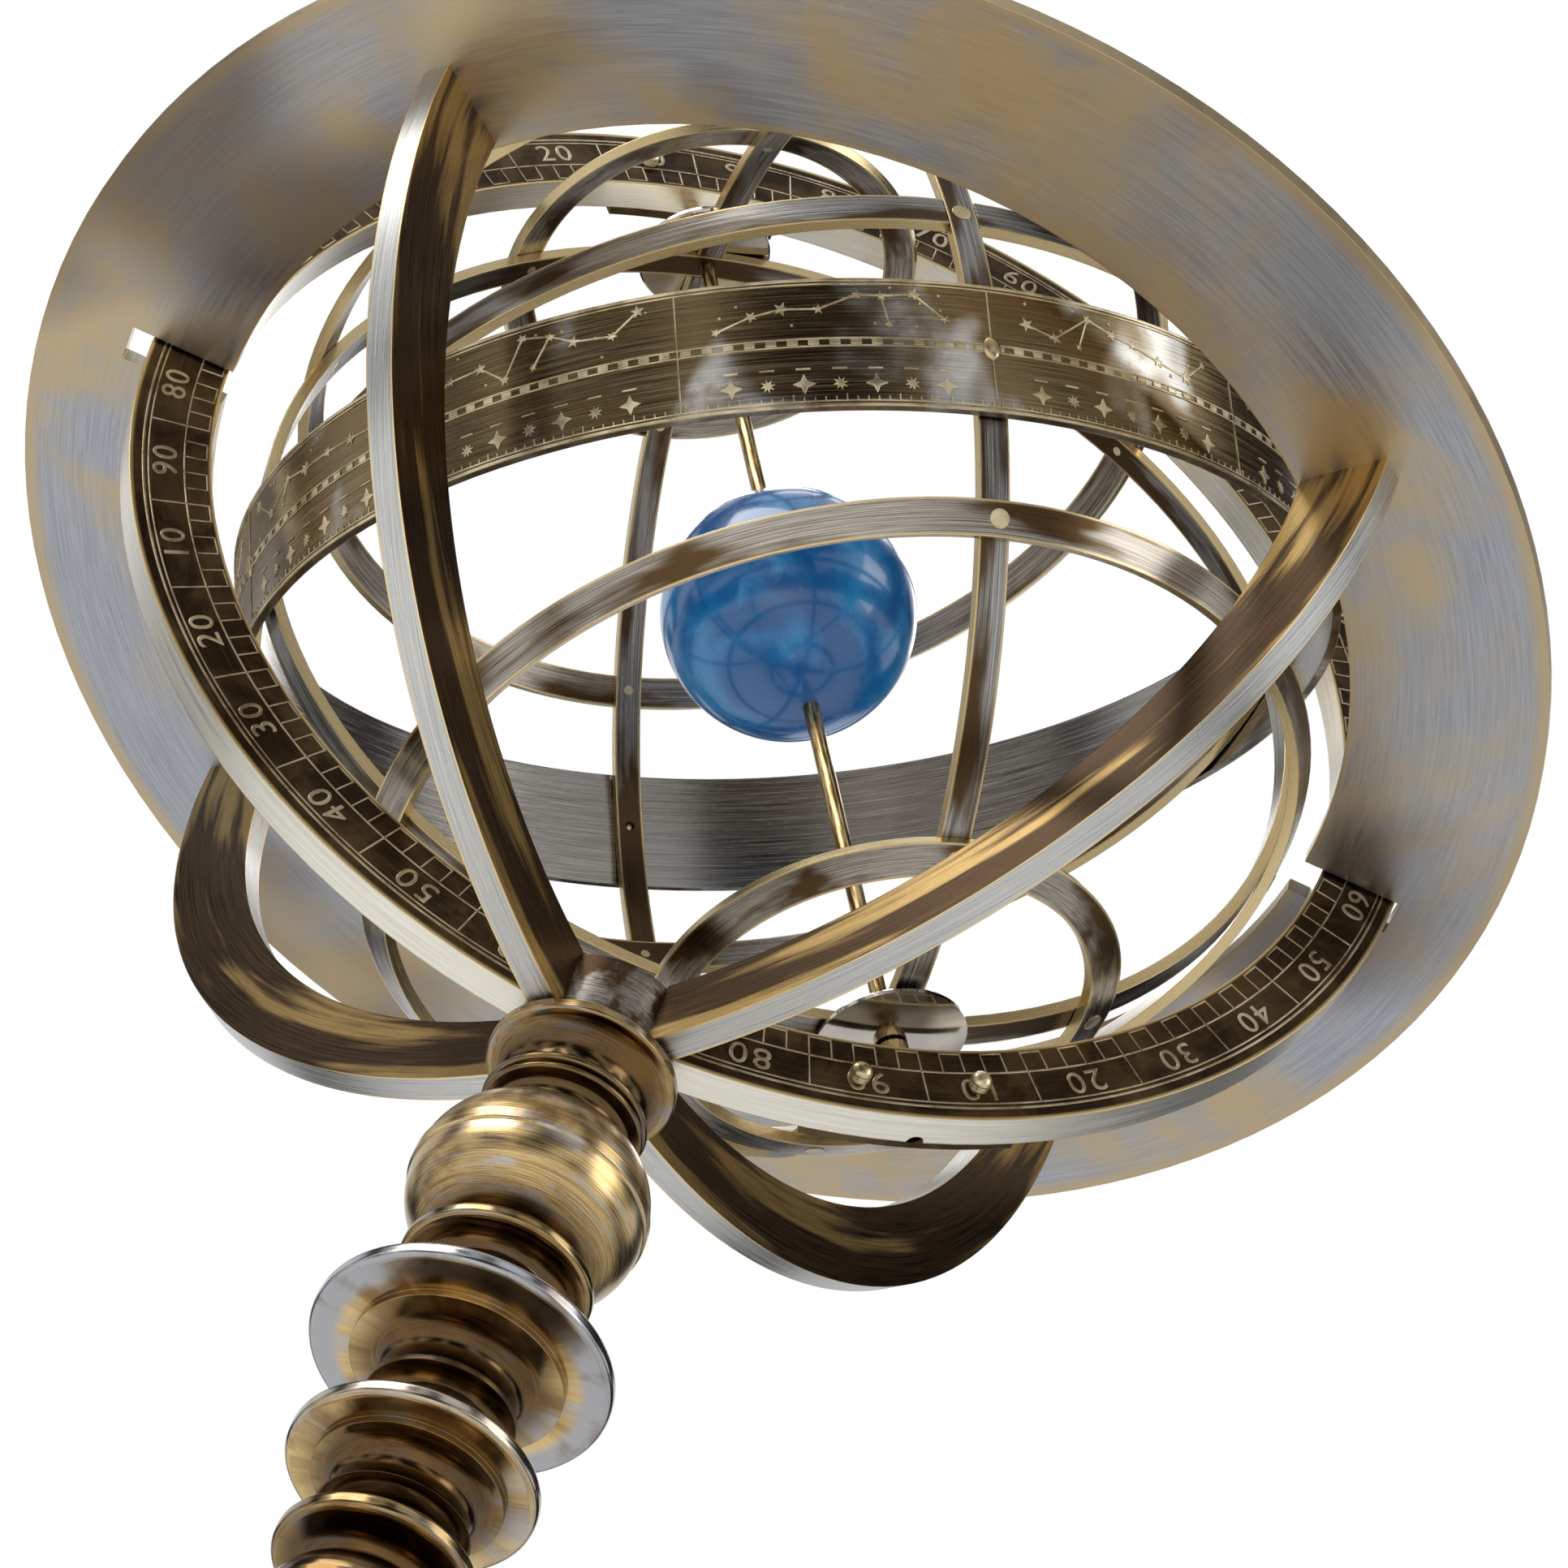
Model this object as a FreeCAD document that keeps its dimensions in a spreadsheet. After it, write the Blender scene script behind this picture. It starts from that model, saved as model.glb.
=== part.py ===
import FreeCAD, Part
import math
import os
import Sketcher

# Armillary sphere on a turned brass stem. Millimetres, +Z up, origin at the centre of the base underside.
# The meridian ring stands in the XZ plane; the south pole of the cage is on the +X side, below the horizon.

SIZES = {
    # cage of strip rings
    "cage_radius": 104.5,
    "strip_thick": 2.2,
    "strip_wide": 6.6,
    "colure_wide": 5.6,
    "lap_gap": 0.1,
    "tropic_latitude": 34.9,
    "polar_latitude": 67.4,
    "zodiac_tilt": 17.8,
    "zodiac_wide": 25.6,
    "zodiac_thick": 1.6,
    "axis_latitude": 64.4,
    "cage_heading": 2.5,
    "cage_slide": 3.0,
    "rivet_radius": 1.0,
    "rivet_head_radius": 1.8,
    "rivet_head_tall": 0.12,
    "stud_head_radius": 2.4,
    "stud_head_tall": 0.8,
    "cap_radius": 14,
    "cap_thick": 2.4,
    # axis
    "rod_radius": 1.6,
    "pivot_clearance": 0.08,
    "press_clearance": 0.02,
    "rod_recess": 4,
    "ball_radius": 25,
    "ball_slide": 2.4,
    "collar_radius": 3,
    "collar_tall": 2.4,
    "collar_gap": 0.5,
    # meridian ring
    "meridian_gap": 11.4,
    "meridian_wide": 15.4,
    "meridian_thick": 7,
    "meridian_shift": 1.6,
    "plate_span": 9,
    "plate_thick": 3,
    "plate_margin": 1.2,
    "screw_angle": 5.3,
    "screw_radius": 2,
    "screw_clearance": 0.05,
    "screw_overhang": 2.6,
    "screw_head_radius": 3.6,
    "screw_head_tall": 2.4,
    # horizon ring and arms
    "horizon_gap": 8.3,
    "horizon_wide": 37.2,
    "horizon_thick": 3.2,
    "horizon_drop": 14.5,
    "slot_clearance": 0.6,
    "slot_reach": 0.4,
    "arm_thick": 5.3,
    "arm_heading": 42.4,
    "arm_setback": 0.9,
    "arm_inner_drop": 10.5,
    "arm_root_part": 0.6,
    "arm_outer_drop": 7.2,
    # hub and stem
    "joint_radius": 12.5,
    "hub_radius": 14,
    "hub_floor": 6.6,
    "seat_gap": 0.3,
    "bell_radius": 16.7,
    "bell_tall": 10,
    "neck_radius": 14.5,
    "neck_tall": 8.5,
    "knop_radius": 20.5,
    "knop_tall": 26.5,
    "collar_rim_radius": 16.3,
    "upper_disc_radius": 25,
    "upper_tall": 33,
    "middle_disc_radius": 20.3,
    "middle_tall": 24,
    "lower_disc_radius": 16,
    "lower_tall": 40,
    "foot_ring_radius": 18,
    "foot_ring_tall": 16,
    "base_radius": 78,
    "base_tall": 42,
    "base_edge_tall": 6,
    "felt_thick": 2,
    "felt_margin": 2,
    "recess_radius": 20,
    "recess_deep": 15,
    # tie rod
    "tie_radius": 3,
    "tie_clearance": 0.2,
    "tie_grip": 4.5,
    "tie_tail": 1.5,
    "washer_radius": 9,
    "washer_thick": 1.6,
    "nut_flats": 10,
    "nut_tall": 5,
}


def cell(alias):
    """One of the sizes, as a formula."""
    return "sizes." + alias


def total(*aliases):
    """The sum of some of the sizes, as a formula."""
    return "(" + " + ".join(cell(alias) for alias in aliases) + ")"


# Derived sizes, written once as formulas over the sheet.
STRIP_INNER = "(sizes.cage_radius - sizes.strip_thick)"
LAP_RADIUS = "(sizes.cage_radius - sizes.strip_thick / 2)"
CIRCLE_INNER = total("cage_radius", "lap_gap")
CIRCLE_OUTER = total("cage_radius", "lap_gap", "strip_thick")
ZODIAC_OUTER = total("cage_radius", "lap_gap", "zodiac_thick")
CAP_OUTER = total("cage_radius", "lap_gap", "cap_thick")
MERIDIAN_INNER = total("cage_radius", "meridian_gap")
MERIDIAN_OUTER = total("cage_radius", "meridian_gap", "meridian_wide")
MERIDIAN_HALF = "(sizes.meridian_thick / 2)"
HORIZON_INNER = total("cage_radius", "horizon_gap")
HORIZON_OUTER = total("cage_radius", "horizon_gap", "horizon_wide")
SLOT_END = total("cage_radius", "meridian_gap", "meridian_wide", "meridian_shift", "slot_reach")
SLOT_WIDE = "(sizes.meridian_thick + 2 * sizes.slot_clearance)"
SEAT_DROP = total("cage_radius", "meridian_gap", "meridian_wide", "seat_gap")
HUB_DROP = "(" + SEAT_DROP + " + sizes.hub_floor)"
ARM_FOOT = "(" + HORIZON_INNER + " + sizes.arm_setback)"
ARM_INNER = "sqrt(" + ARM_FOOT + "^2 + (sizes.horizon_drop - sizes.arm_inner_drop)^2)"
ARM_OUTER = "(" + HUB_DROP + " - sizes.arm_outer_drop)"
HUB_TOP_DROP = "(sizes.arm_inner_drop + " + ARM_INNER + ")"
BORE = total("tie_radius", "tie_clearance")

STACK = ("felt_thick", "base_tall", "foot_ring_tall", "lower_tall", "middle_tall", "upper_tall",
         "knop_tall", "neck_tall", "bell_tall")
HUB_BOTTOM = total(*STACK)
CENTRE = "(" + HUB_BOTTOM + " + " + HUB_DROP + ")"

HOME = "placement(vector(0; 0; 0); rotation(vector(0; 0; 1); 0))"
SPHERE = "placement(vector(0; 0; " + CENTRE + "); rotation(vector(0; 0; 1); 0))"
POLAR = ("placement(vector(sizes.meridian_shift; " + MERIDIAN_HALF + "; " + CENTRE + "); "
         "rotation(vector(0; 1; 0); sizes.axis_latitude - 90))")

doc = FreeCAD.newDocument("armillary_sphere")
sheet = doc.addObject("Spreadsheet::Sheet", "sizes")
for row, (alias, size) in enumerate(SIZES.items(), start=1):
    sheet.set("A%d" % row, alias)
    sheet.set("B%d" % row, str(size))
    sheet.setAlias("B%d" % row, alias)
doc.recompute()

NODES = []


def value(formula):
    """The number that a formula over the sheet gives now."""
    return float(sheet.evalExpression(formula))


def turn(axis, angle):
    """A rotation about one of the unit axes, as a placement formula."""
    return "placement(vector(0; 0; 0); rotation(vector(" + axis + "); " + angle + "))"


def shift(x, y, z):
    """A move without a turn, as a placement formula."""
    return "placement(vector(" + "; ".join((x, y, z)) + "); rotation(vector(0; 0; 1); 0))"


# The meridian ring sits against one end of the horizon ring's slots, so it stands off the stem's axis.
MERIDIAN = shift("sizes.meridian_shift", "0", CENTRE)
# The cage and the ball have slid down the rod, towards the south pole.
CAGE = POLAR + " * " + shift("0", "0", "-sizes.cage_slide") + " * " + turn("0; 0; 1", "-sizes.cage_heading")
BALL = POLAR + " * " + shift("0", "0", "-sizes.ball_slide")


def place(item, formula):
    item.setExpression("Placement", formula)


def node(item, name):
    """Marks a finished object as one sub-part of the sphere."""
    item.Label = name
    NODES.append(item)
    return item


# ---------------------------------------------------------------- sketching helpers

def new_body(name, formula):
    body = doc.addObject("PartDesign::Body", name)
    place(body, formula)
    return body


def origin_plane(body, role):
    for feature in body.Origin.OriginFeatures:
        if feature.Role == role:
            return feature
    raise ValueError("no origin plane " + role)


def new_sketch(body, role, name):
    sketch = body.newObject("Sketcher::SketchObject", body.Name + "_" + name)
    sketch.AttachmentSupport = (origin_plane(body, role), [""])
    sketch.MapMode = "FlatFace"
    return sketch


def constrain(sketch, *arguments, formula):
    """Adds a dimension whose value follows a formula."""
    index = sketch.addConstraint(Sketcher.Constraint(*arguments, value(formula)))
    sketch.setExpression("Constraints[%d]" % index, formula)


def pin(sketch, geometry, end, kind, formula):
    """Holds one coordinate of a sketch point at a formula, measured from the origin."""
    size = value(formula)
    if abs(size) < 1e-9:
        axis = -2 if kind == "DistanceX" else -1
        sketch.addConstraint(Sketcher.Constraint("PointOnObject", geometry, end, axis))
    elif size > 0:
        constrain(sketch, kind, -1, 1, geometry, end, formula=formula)
    else:
        constrain(sketch, kind, geometry, end, -1, 1, formula="-(" + formula + ")")


def circle(sketch, radius):
    """A circle about the origin."""
    index = sketch.addGeometry(Part.Circle(FreeCAD.Vector(), FreeCAD.Vector(0, 0, 1), value(radius)))
    sketch.addConstraint(Sketcher.Constraint("Coincident", index, 3, -1, 1))
    constrain(sketch, "Radius", index, formula=radius)


def arc_between(start, end, rise):
    """The arc whose middle stands off its chord by rise, to the left of the way from start to end."""
    chord = end - start
    left = FreeCAD.Vector(-chord.y, chord.x, 0).normalize()
    radius = chord.Length ** 2 / (8 * abs(rise)) + abs(rise) / 2
    centre = (start + end) * 0.5 + left * (rise - math.copysign(radius, rise))
    from_angle = math.atan2(start.y - centre.y, start.x - centre.x)
    to_angle = math.atan2(end.y - centre.y, end.x - centre.x)
    reverse = rise > 0
    if reverse:
        from_angle, to_angle = to_angle, from_angle
    if to_angle < from_angle:
        to_angle += 2 * math.pi
    base = Part.Circle(centre, FreeCAD.Vector(0, 0, 1), radius)
    return Part.ArcOfCircle(base, from_angle, to_angle), reverse


def outline(sketch, corners):
    """A closed outline. A corner is (x, y) or (x, y, rise); rise bows the run that leads to the corner."""
    points = [FreeCAD.Vector(value(corner[0]), value(corner[1]), 0) for corner in corners]
    ends = []
    for number, corner in enumerate(corners):
        before = points[number - 1]
        here = points[number]
        if len(corner) == 2:
            index = sketch.addGeometry(Part.LineSegment(before, here))
            ends.append((index, 1, 2))
            continue
        arc, reverse = arc_between(before, here, value(corner[2]))
        index = sketch.addGeometry(arc)
        ends.append((index, 2, 1) if reverse else (index, 1, 2))
    for number, corner in enumerate(corners):
        index, _, last = ends[number]
        following, first, _ = ends[(number + 1) % len(corners)]
        sketch.addConstraint(Sketcher.Constraint("Coincident", index, last, following, first))
        pin(sketch, index, last, "DistanceX", corner[0])
        pin(sketch, index, last, "DistanceY", corner[1])
        if len(corner) == 3:
            previous = corners[number - 1]
            chord = "((%s - (%s))^2 + (%s - (%s))^2)" % (corner[0], previous[0], corner[1], previous[1])
            radius = "(%s / (8 * abs(%s)) + abs(%s) / 2)" % (chord, corner[2], corner[2])
            constrain(sketch, "Radius", index, formula=radius)


def rectangle(sketch, left, right, bottom, top):
    outline(sketch, [(left, bottom), (right, bottom), (right, top), (left, top)])


def pad(body, sketch, length, middle=False, backward=False):
    feature = body.newObject("PartDesign::Pad", sketch.Name + "_pad")
    feature.Profile = sketch
    feature.setExpression("Length", length)
    feature.Midplane = middle
    feature.Reversed = backward
    return feature


def pocket(body, sketch, length, middle=False, backward=False):
    feature = body.newObject("PartDesign::Pocket", sketch.Name + "_pocket")
    feature.Profile = sketch
    feature.setExpression("Length", length)
    feature.Midplane = middle
    feature.Reversed = backward
    return feature


def revolve(body, sketch):
    feature = body.newObject("PartDesign::Revolution", sketch.Name + "_turned")
    feature.Profile = sketch
    feature.ReferenceAxis = (sketch, ["V_Axis"])
    feature.Angle = 360
    return feature


def turned(name, corners, formula):
    """A lathe-turned body from an outline of (radius, height) corners."""
    body = new_body(name, formula)
    sketch = new_sketch(body, "XZ_Plane", "profile")
    outline(sketch, corners)
    revolve(body, sketch)
    return body


def cylinder(name, radius, height, formula):
    item = doc.addObject("Part::Cylinder", name)
    item.setExpression("Radius", radius)
    item.setExpression("Height", height)
    place(item, formula)
    return item


def compound(name, items):
    group = doc.addObject("Part::Compound", name)
    group.Links = items
    return group


def cut(name, base, tool):
    item = doc.addObject("Part::Cut", name)
    item.Base = base
    item.Tool = tool
    return item


# ---------------------------------------------------------------- stem

# Every turned stem piece meets the next in a plain spigot face; radii that its mouldings share.
JOINT = "sizes.joint_radius"
FILLET = "(sizes.joint_radius - 1)"
WAIST = "(sizes.joint_radius - 2)"


def stacked(count):
    """The placement of a stem piece that stands on the first pieces of the stack."""
    return shift("0", "0", total(*STACK[:count]))


def stem_piece(name, count, tall, corners):
    """A turned stem piece with the tie rod's bore, from its outer corners between bottom and top."""
    profile = [(BORE, "0")] + corners + [(BORE, cell(tall))]
    return node(turned(name, profile, stacked(count)), name)


def base_felt():
    inner = total("recess_radius", "felt_margin")
    outer = "(sizes.base_radius - sizes.felt_margin)"
    corners = [(inner, "0"), (outer, "0"), (outer, "sizes.felt_thick"), (inner, "sizes.felt_thick")]
    return node(turned("base_felt", corners, HOME), "base_felt")


def base_foot():
    edge = "sizes.base_edge_tall"
    top = "sizes.base_tall"
    step = "sizes.base_radius * 0.52"
    ledge = "(sizes.base_tall * 0.46)"
    rim = "sizes.foot_ring_radius + 3.5"
    corners = [
        ("sizes.recess_radius", "0"),
        ("sizes.base_radius - 1", "0"),
        ("sizes.base_radius", "1"),
        ("sizes.base_radius", edge + " - 1"),
        ("sizes.base_radius - 1", edge),
        ("sizes.base_radius - 5", edge),
        ("sizes.base_radius - 5", edge + " + 2"),
        (step, ledge, "5"),
        (step + " - 2", ledge),
        (step + " - 2", ledge + " + 3"),
        (rim + " - 1.5", "(" + top + " - 6)", "-3"),
        (rim, "(" + top + " - 4.5)"),
        (rim, "(" + top + " - 1)"),
        (rim + " - 1", top),
        (BORE, top),
        (BORE, "sizes.recess_deep"),
        ("sizes.recess_radius", "sizes.recess_deep"),
    ]
    return node(turned("base_foot", corners, stacked(1)), "base_foot")


def foot_collar():
    ring = "sizes.foot_ring_radius"
    tall = "sizes.foot_ring_tall"
    return stem_piece("foot_collar", 2, "foot_ring_tall", [
        (ring + " - 1", "0"),
        (ring, "1"),
        (ring, "3.5"),
        (ring + " - 1", "4.5"),
        ("9.5", tall + " - 4.5", "2"),
        (JOINT, tall + " - 3.5"),
        (JOINT, tall + " - 1"),
        (FILLET, tall),
    ])


def disc_rim(disc, low):
    """The rolled edge of a flat disc whose underside is at the height low."""
    return [
        (disc + " - 1.2", low),
        (disc, low + " + 1.2", "-0.35"),
        (disc, low + " + 2.2"),
        (disc + " - 1", low + " + 3.2", "-0.3"),
    ]


def lower_baluster():
    tall = "sizes.lower_tall"
    corners = [
        (FILLET, "0"),
        (FILLET, "1.5"),
        ("7.5", "4.5", "0.8"),
        ("14.5", tall + " * 0.5", "-1.6"),
        ("8.5", tall + " - 12.5", "-1.4"),
        (FILLET, tall + " - 10", "0.7"),
    ]
    corners += disc_rim("sizes.lower_disc_radius", tall + " - 10")
    corners += [
        (JOINT, tall + " - 6.4"),
        (JOINT, tall + " - 5"),
        (WAIST, tall, "1"),
    ]
    return stem_piece("lower_baluster", 3, "lower_tall", corners)


def spool_and_disc(disc, below, step):
    """A waisted spool that carries a flat disc with a stepped underside."""
    return [
        (JOINT, "0"),
        (JOINT + " + 1.5", below + " - 1.2", "2.8"),
        (step, below + " - 1.2"),
        (step, below),
    ] + disc_rim(disc, below)


def middle_baluster():
    tall = "sizes.middle_tall"
    corners = spool_and_disc("sizes.middle_disc_radius", "8.4", "15.4")
    corners += [
        (JOINT + " + 1.5", "12"),
        (WAIST + " - 1.5", tall + " - 4.5", "1.8"),
        (WAIST + " - 1.5", tall + " - 2.5"),
        (JOINT, tall + " - 1", "0.5"),
        (JOINT, tall),
    ]
    return stem_piece("middle_baluster", 4, "middle_tall", corners)


def upper_baluster():
    tall = "sizes.upper_tall"
    rim = "sizes.collar_rim_radius"
    corners = spool_and_disc("sizes.upper_disc_radius", "8.8", "17.6")
    corners += [
        (JOINT + " + 3", "12.4"),
        (WAIST, tall + " - 11.5", "2"),
        (WAIST, tall + " - 8"),
        (rim + " - 1", tall + " - 6", "1"),
        (rim, tall + " - 5", "-0.2"),
        (rim, tall + " - 4"),
        (rim + " - 1", tall + " - 3", "-0.2"),
        (JOINT, tall + " - 1.6"),
        (JOINT, tall),
    ]
    return stem_piece("upper_baluster", 5, "upper_tall", corners)


def knop():
    ball = "sizes.knop_radius"
    low = "sizes.knop_tall * 0.44"
    return stem_piece("knop", 6, "knop_tall", [
        (JOINT, "0"),
        (ball + " - 0.4", low, "-2"),
        (ball, low + " + 0.4"),
        (ball, low + " + 2.6"),
        (ball + " - 0.4", low + " + 3"),
        (FILLET, "sizes.knop_tall", "-2.2"),
    ])


def neck():
    ring = "sizes.neck_radius"
    tall = "sizes.neck_tall"
    return stem_piece("neck", 7, "neck_tall", [
        (FILLET, "0"),
        (ring + " - 2.4", tall + " - 4.6", "0.8"),
        (ring + " - 0.6", tall + " - 4.2"),
        (ring + " - 0.6", tall + " - 3", "-0.4"),
        (ring + " - 1.6", tall + " - 2.6"),
        (ring + " - 0.4", tall + " - 2.2"),
        (ring + " - 0.4", tall + " - 0.8", "-0.4"),
        (ring + " - 1.4", tall),
    ])


def bell_cup():
    lip = "sizes.bell_radius"
    tall = "sizes.bell_tall"
    return stem_piece("bell_cup", 8, "bell_tall", [
        (WAIST + " + 0.5", "0"),
        (WAIST + " + 0.7", "1"),
        (lip + " - 1.6", tall + " - 2.6", "1.5"),
        (lip + " - 0.6", tall + " - 2.4"),
        (lip, tall + " - 1.6", "-0.2"),
        (lip, tall + " - 0.6"),
        (lip + " - 0.6", tall, "-0.2"),
    ])


def hub():
    """Short cylinder that carries the arms, slotted on top for the meridian ring."""
    body = new_body("hub", shift("0", "0", HUB_BOTTOM))
    tall = "(" + HUB_DROP + " - " + HUB_TOP_DROP + ")"
    disc = new_sketch(body, "XY_Plane", "disc")
    circle(disc, "sizes.hub_radius")
    pad(body, disc, tall)
    slot = new_sketch(body, "YZ_Plane", "slot")
    half = "(" + SLOT_WIDE + " / 2)"
    rectangle(slot, "-" + half, half, "sizes.hub_floor", tall + " + 1")
    pocket(body, slot, "2 * sizes.hub_radius + 2", middle=True)
    thread = new_sketch(body, "XY_Plane", "thread")
    circle(thread, total("tie_radius", "press_clearance"))
    pocket(body, thread, "sizes.tie_grip + 0.6", backward=True)
    return node(body, "hub")


def tie_parts():
    """One long rod draws the stem together: threaded into the hub, with a nut and washer under the base."""
    ceiling = total("felt_thick", "recess_deep")
    washer_under = "(" + ceiling + " - sizes.washer_thick)"
    nut_under = "(" + washer_under + " - sizes.nut_tall)"
    rod_under = "(" + nut_under + " - sizes.tie_tail)"
    rod_long = "(" + HUB_BOTTOM + " + sizes.tie_grip - " + rod_under + ")"
    rod = cylinder("tie_rod", "sizes.tie_radius", rod_long, shift("0", "0", rod_under))
    node(rod, "tie_rod")
    washer = turned("tie_washer", [
        (BORE, "0"),
        ("sizes.washer_radius", "0"),
        ("sizes.washer_radius", "sizes.washer_thick"),
        (BORE, "sizes.washer_thick"),
    ], shift("0", "0", washer_under))
    node(washer, "tie_washer")
    prism = doc.addObject("Part::Prism", "nut_blank")
    prism.Polygon = 6
    prism.setExpression("Circumradius", "sizes.nut_flats / sqrt(3)")
    prism.setExpression("Height", "sizes.nut_tall")
    place(prism, shift("0", "0", nut_under))
    bore = cylinder("nut_bore", total("tie_radius", "press_clearance"), "sizes.nut_tall + 2",
                    shift("0", "0", nut_under + " - 1"))
    node(cut("tie_nut", prism, bore), "tie_nut")


# ---------------------------------------------------------------- arms and horizon ring

def arm(name, heading):
    """Curved plate from the hub to the underside of the horizon ring, coped to the hub's cylinder."""
    body = new_body(name, SPHERE + " * " + turn("0; 0; 1", heading))
    side = new_sketch(body, "XZ_Plane", "side")
    outer_foot = "sqrt(" + ARM_OUTER + "^2 - (sizes.horizon_drop - sizes.arm_outer_drop)^2)"
    root = "(sizes.hub_radius * sizes.arm_root_part)"
    outer_root = "-(sizes.arm_outer_drop + sqrt(" + ARM_OUTER + "^2 - " + root + "^2))"
    inner_root = "-(sizes.arm_inner_drop + sqrt(" + ARM_INNER + "^2 - " + root + "^2))"

    def rise(radius, chord_x, chord_y):
        chord = "((" + chord_x + ")^2 + (" + chord_y + ")^2)"
        return "(" + radius + " - sqrt(" + radius + "^2 - " + chord + " / 4))"

    outer_rise = rise(ARM_OUTER, outer_foot + " - " + root, outer_root + " + sizes.horizon_drop")
    inner_rise = rise(ARM_INNER, ARM_FOOT + " - " + root, inner_root + " + sizes.horizon_drop")
    outline(side, [
        (root, outer_root),
        (outer_foot, "-sizes.horizon_drop", "-" + outer_rise),
        (ARM_FOOT, "-sizes.horizon_drop"),
        (root, inner_root, inner_rise),
    ])
    pad(body, side, "sizes.arm_thick", middle=True)
    cope = new_sketch(body, "XY_Plane", "cope")
    circle(cope, "sizes.hub_radius")
    pocket(body, cope, "3 * " + HUB_DROP, middle=True)
    return node(body, name)


def arms():
    """Four equal arms, a quarter turn apart."""
    arm("arm_front_right", "(sizes.arm_heading - 90)")
    arm("arm_back_right", "sizes.arm_heading")
    arm("arm_back_left", "(sizes.arm_heading + 90)")
    arm("arm_front_left", "(sizes.arm_heading - 180)")


def horizon_ring():
    body = new_body("horizon_ring", SPHERE)
    plan = new_sketch(body, "XY_Plane", "plan")
    circle(plan, HORIZON_OUTER)
    circle(plan, HORIZON_INNER)
    plan.setExpression("AttachmentOffset", shift("0", "0", "-sizes.horizon_drop"))
    pad(body, plan, "sizes.horizon_thick")
    slots = new_sketch(body, "XY_Plane", "slots")
    half = "(" + SLOT_WIDE + " / 2)"
    start = "(" + HORIZON_INNER + " - 3)"
    rectangle(slots, start, SLOT_END, "-" + half, half)
    rectangle(slots, "-" + SLOT_END, "-" + start, "-" + half, half)
    pocket(body, slots, "4 * sizes.horizon_drop", middle=True)
    return node(body, "horizon_ring")


# ---------------------------------------------------------------- meridian ring, axis and ball

def polar_bore(name, clearance):
    """A cutter along the whole polar axis."""
    reach = "(" + MERIDIAN_OUTER + " + 2)"
    return cylinder(name, "(sizes.rod_radius + sizes." + clearance + ")", "2 * " + reach,
                    POLAR + " * " + shift("0", "0", "-" + reach))


SCREW_RING = "(" + MERIDIAN_INNER + " + sizes.meridian_wide / 2)"


def screw_frames():
    """Placements of the pole screws at each pole; the local Z axis points to the back of the ring."""
    frames = {"south": [], "north": []}
    for pole, start in (("south", "180"), ("north", "0")):
        for side in ("", "-"):
            angle = start + " + " + side + "sizes.screw_angle"
            frames[pole].append(POLAR + " * " + turn("0; 1; 0", angle) + " * "
                                + shift("0", "0", SCREW_RING) + " * " + turn("1; 0; 0", "-90"))
    return frames


def meridian_parts():
    body = new_body("meridian_blank", MERIDIAN)
    plan = new_sketch(body, "XZ_Plane", "plan")
    circle(plan, MERIDIAN_OUTER)
    circle(plan, MERIDIAN_INNER)
    pad(body, plan, "sizes.meridian_thick", middle=True)
    groove = polar_bore("rod_groove", "press_clearance")
    frames = screw_frames()
    drill_radius = total("screw_radius", "screw_clearance")
    start = shift("0", "0", "-2 * sizes.meridian_thick")
    drills = []
    for pole, places in frames.items():
        for number, frame in enumerate(places, start=1):
            name = "screw_drill_%s_%d" % (pole, number)
            drills.append(cylinder(name, drill_radius, "4 * sizes.meridian_thick", frame + " * " + start))
    cutters = compound("meridian_cutters", [groove] + drills)
    node(cut("meridian_ring", body, cutters), "meridian_ring")
    for pole in ("south", "north"):
        pole_plate(pole, cutters)
        pole_screws(pole, frames[pole])


def pole_plate(pole, cutters):
    """Curved plate that closes the rod's groove on the back face of the meridian ring."""
    half_turn = "180" if pole == "south" else "0"
    body = new_body(pole + "_plate_blank", POLAR + " * " + turn("0; 1; 0", half_turn))
    side = new_sketch(body, "XZ_Plane", "side")
    inner = "(" + MERIDIAN_INNER + " + sizes.plate_margin)"
    outer = "(" + MERIDIAN_OUTER + " - sizes.plate_margin)"
    across = "sin(sizes.plate_span)"
    along = "cos(sizes.plate_span)"
    outline(side, [
        ("-" + inner + " * " + across, inner + " * " + along),
        (inner + " * " + across, inner + " * " + along, inner + " * (1 - " + along + ")"),
        (outer + " * " + across, outer + " * " + along),
        ("-" + outer + " * " + across, outer + " * " + along, "-" + outer + " * (1 - " + along + ")"),
    ])
    pad(body, side, "sizes.plate_thick", backward=True)
    node(cut(pole + "_pole_plate", body, cutters), pole + "_pole_plate")


def pole_screws(pole, frames):
    """Two screws through plate and ring; their threaded ends stand out of the front face."""
    screws = []
    for number, frame in enumerate(frames, start=1):
        name = "pole_screw_%s_%d" % (pole, number)
        low = "-(sizes.meridian_thick + sizes.screw_overhang)"
        shank = cylinder(name + "_shank", "sizes.screw_radius",
                         "sizes.meridian_thick + sizes.screw_overhang + sizes.plate_thick",
                         frame + " * " + shift("0", "0", low))
        head = cylinder(name + "_head", "sizes.screw_head_radius", "sizes.screw_head_tall",
                        frame + " * " + shift("0", "0", "sizes.plate_thick"))
        screw = doc.addObject("Part::Fuse", name)
        screw.Base = shank
        screw.Tool = head
        screws.append(screw)
    node(compound("pole_screws_" + pole, screws), "pole_screws_" + pole)


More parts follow.
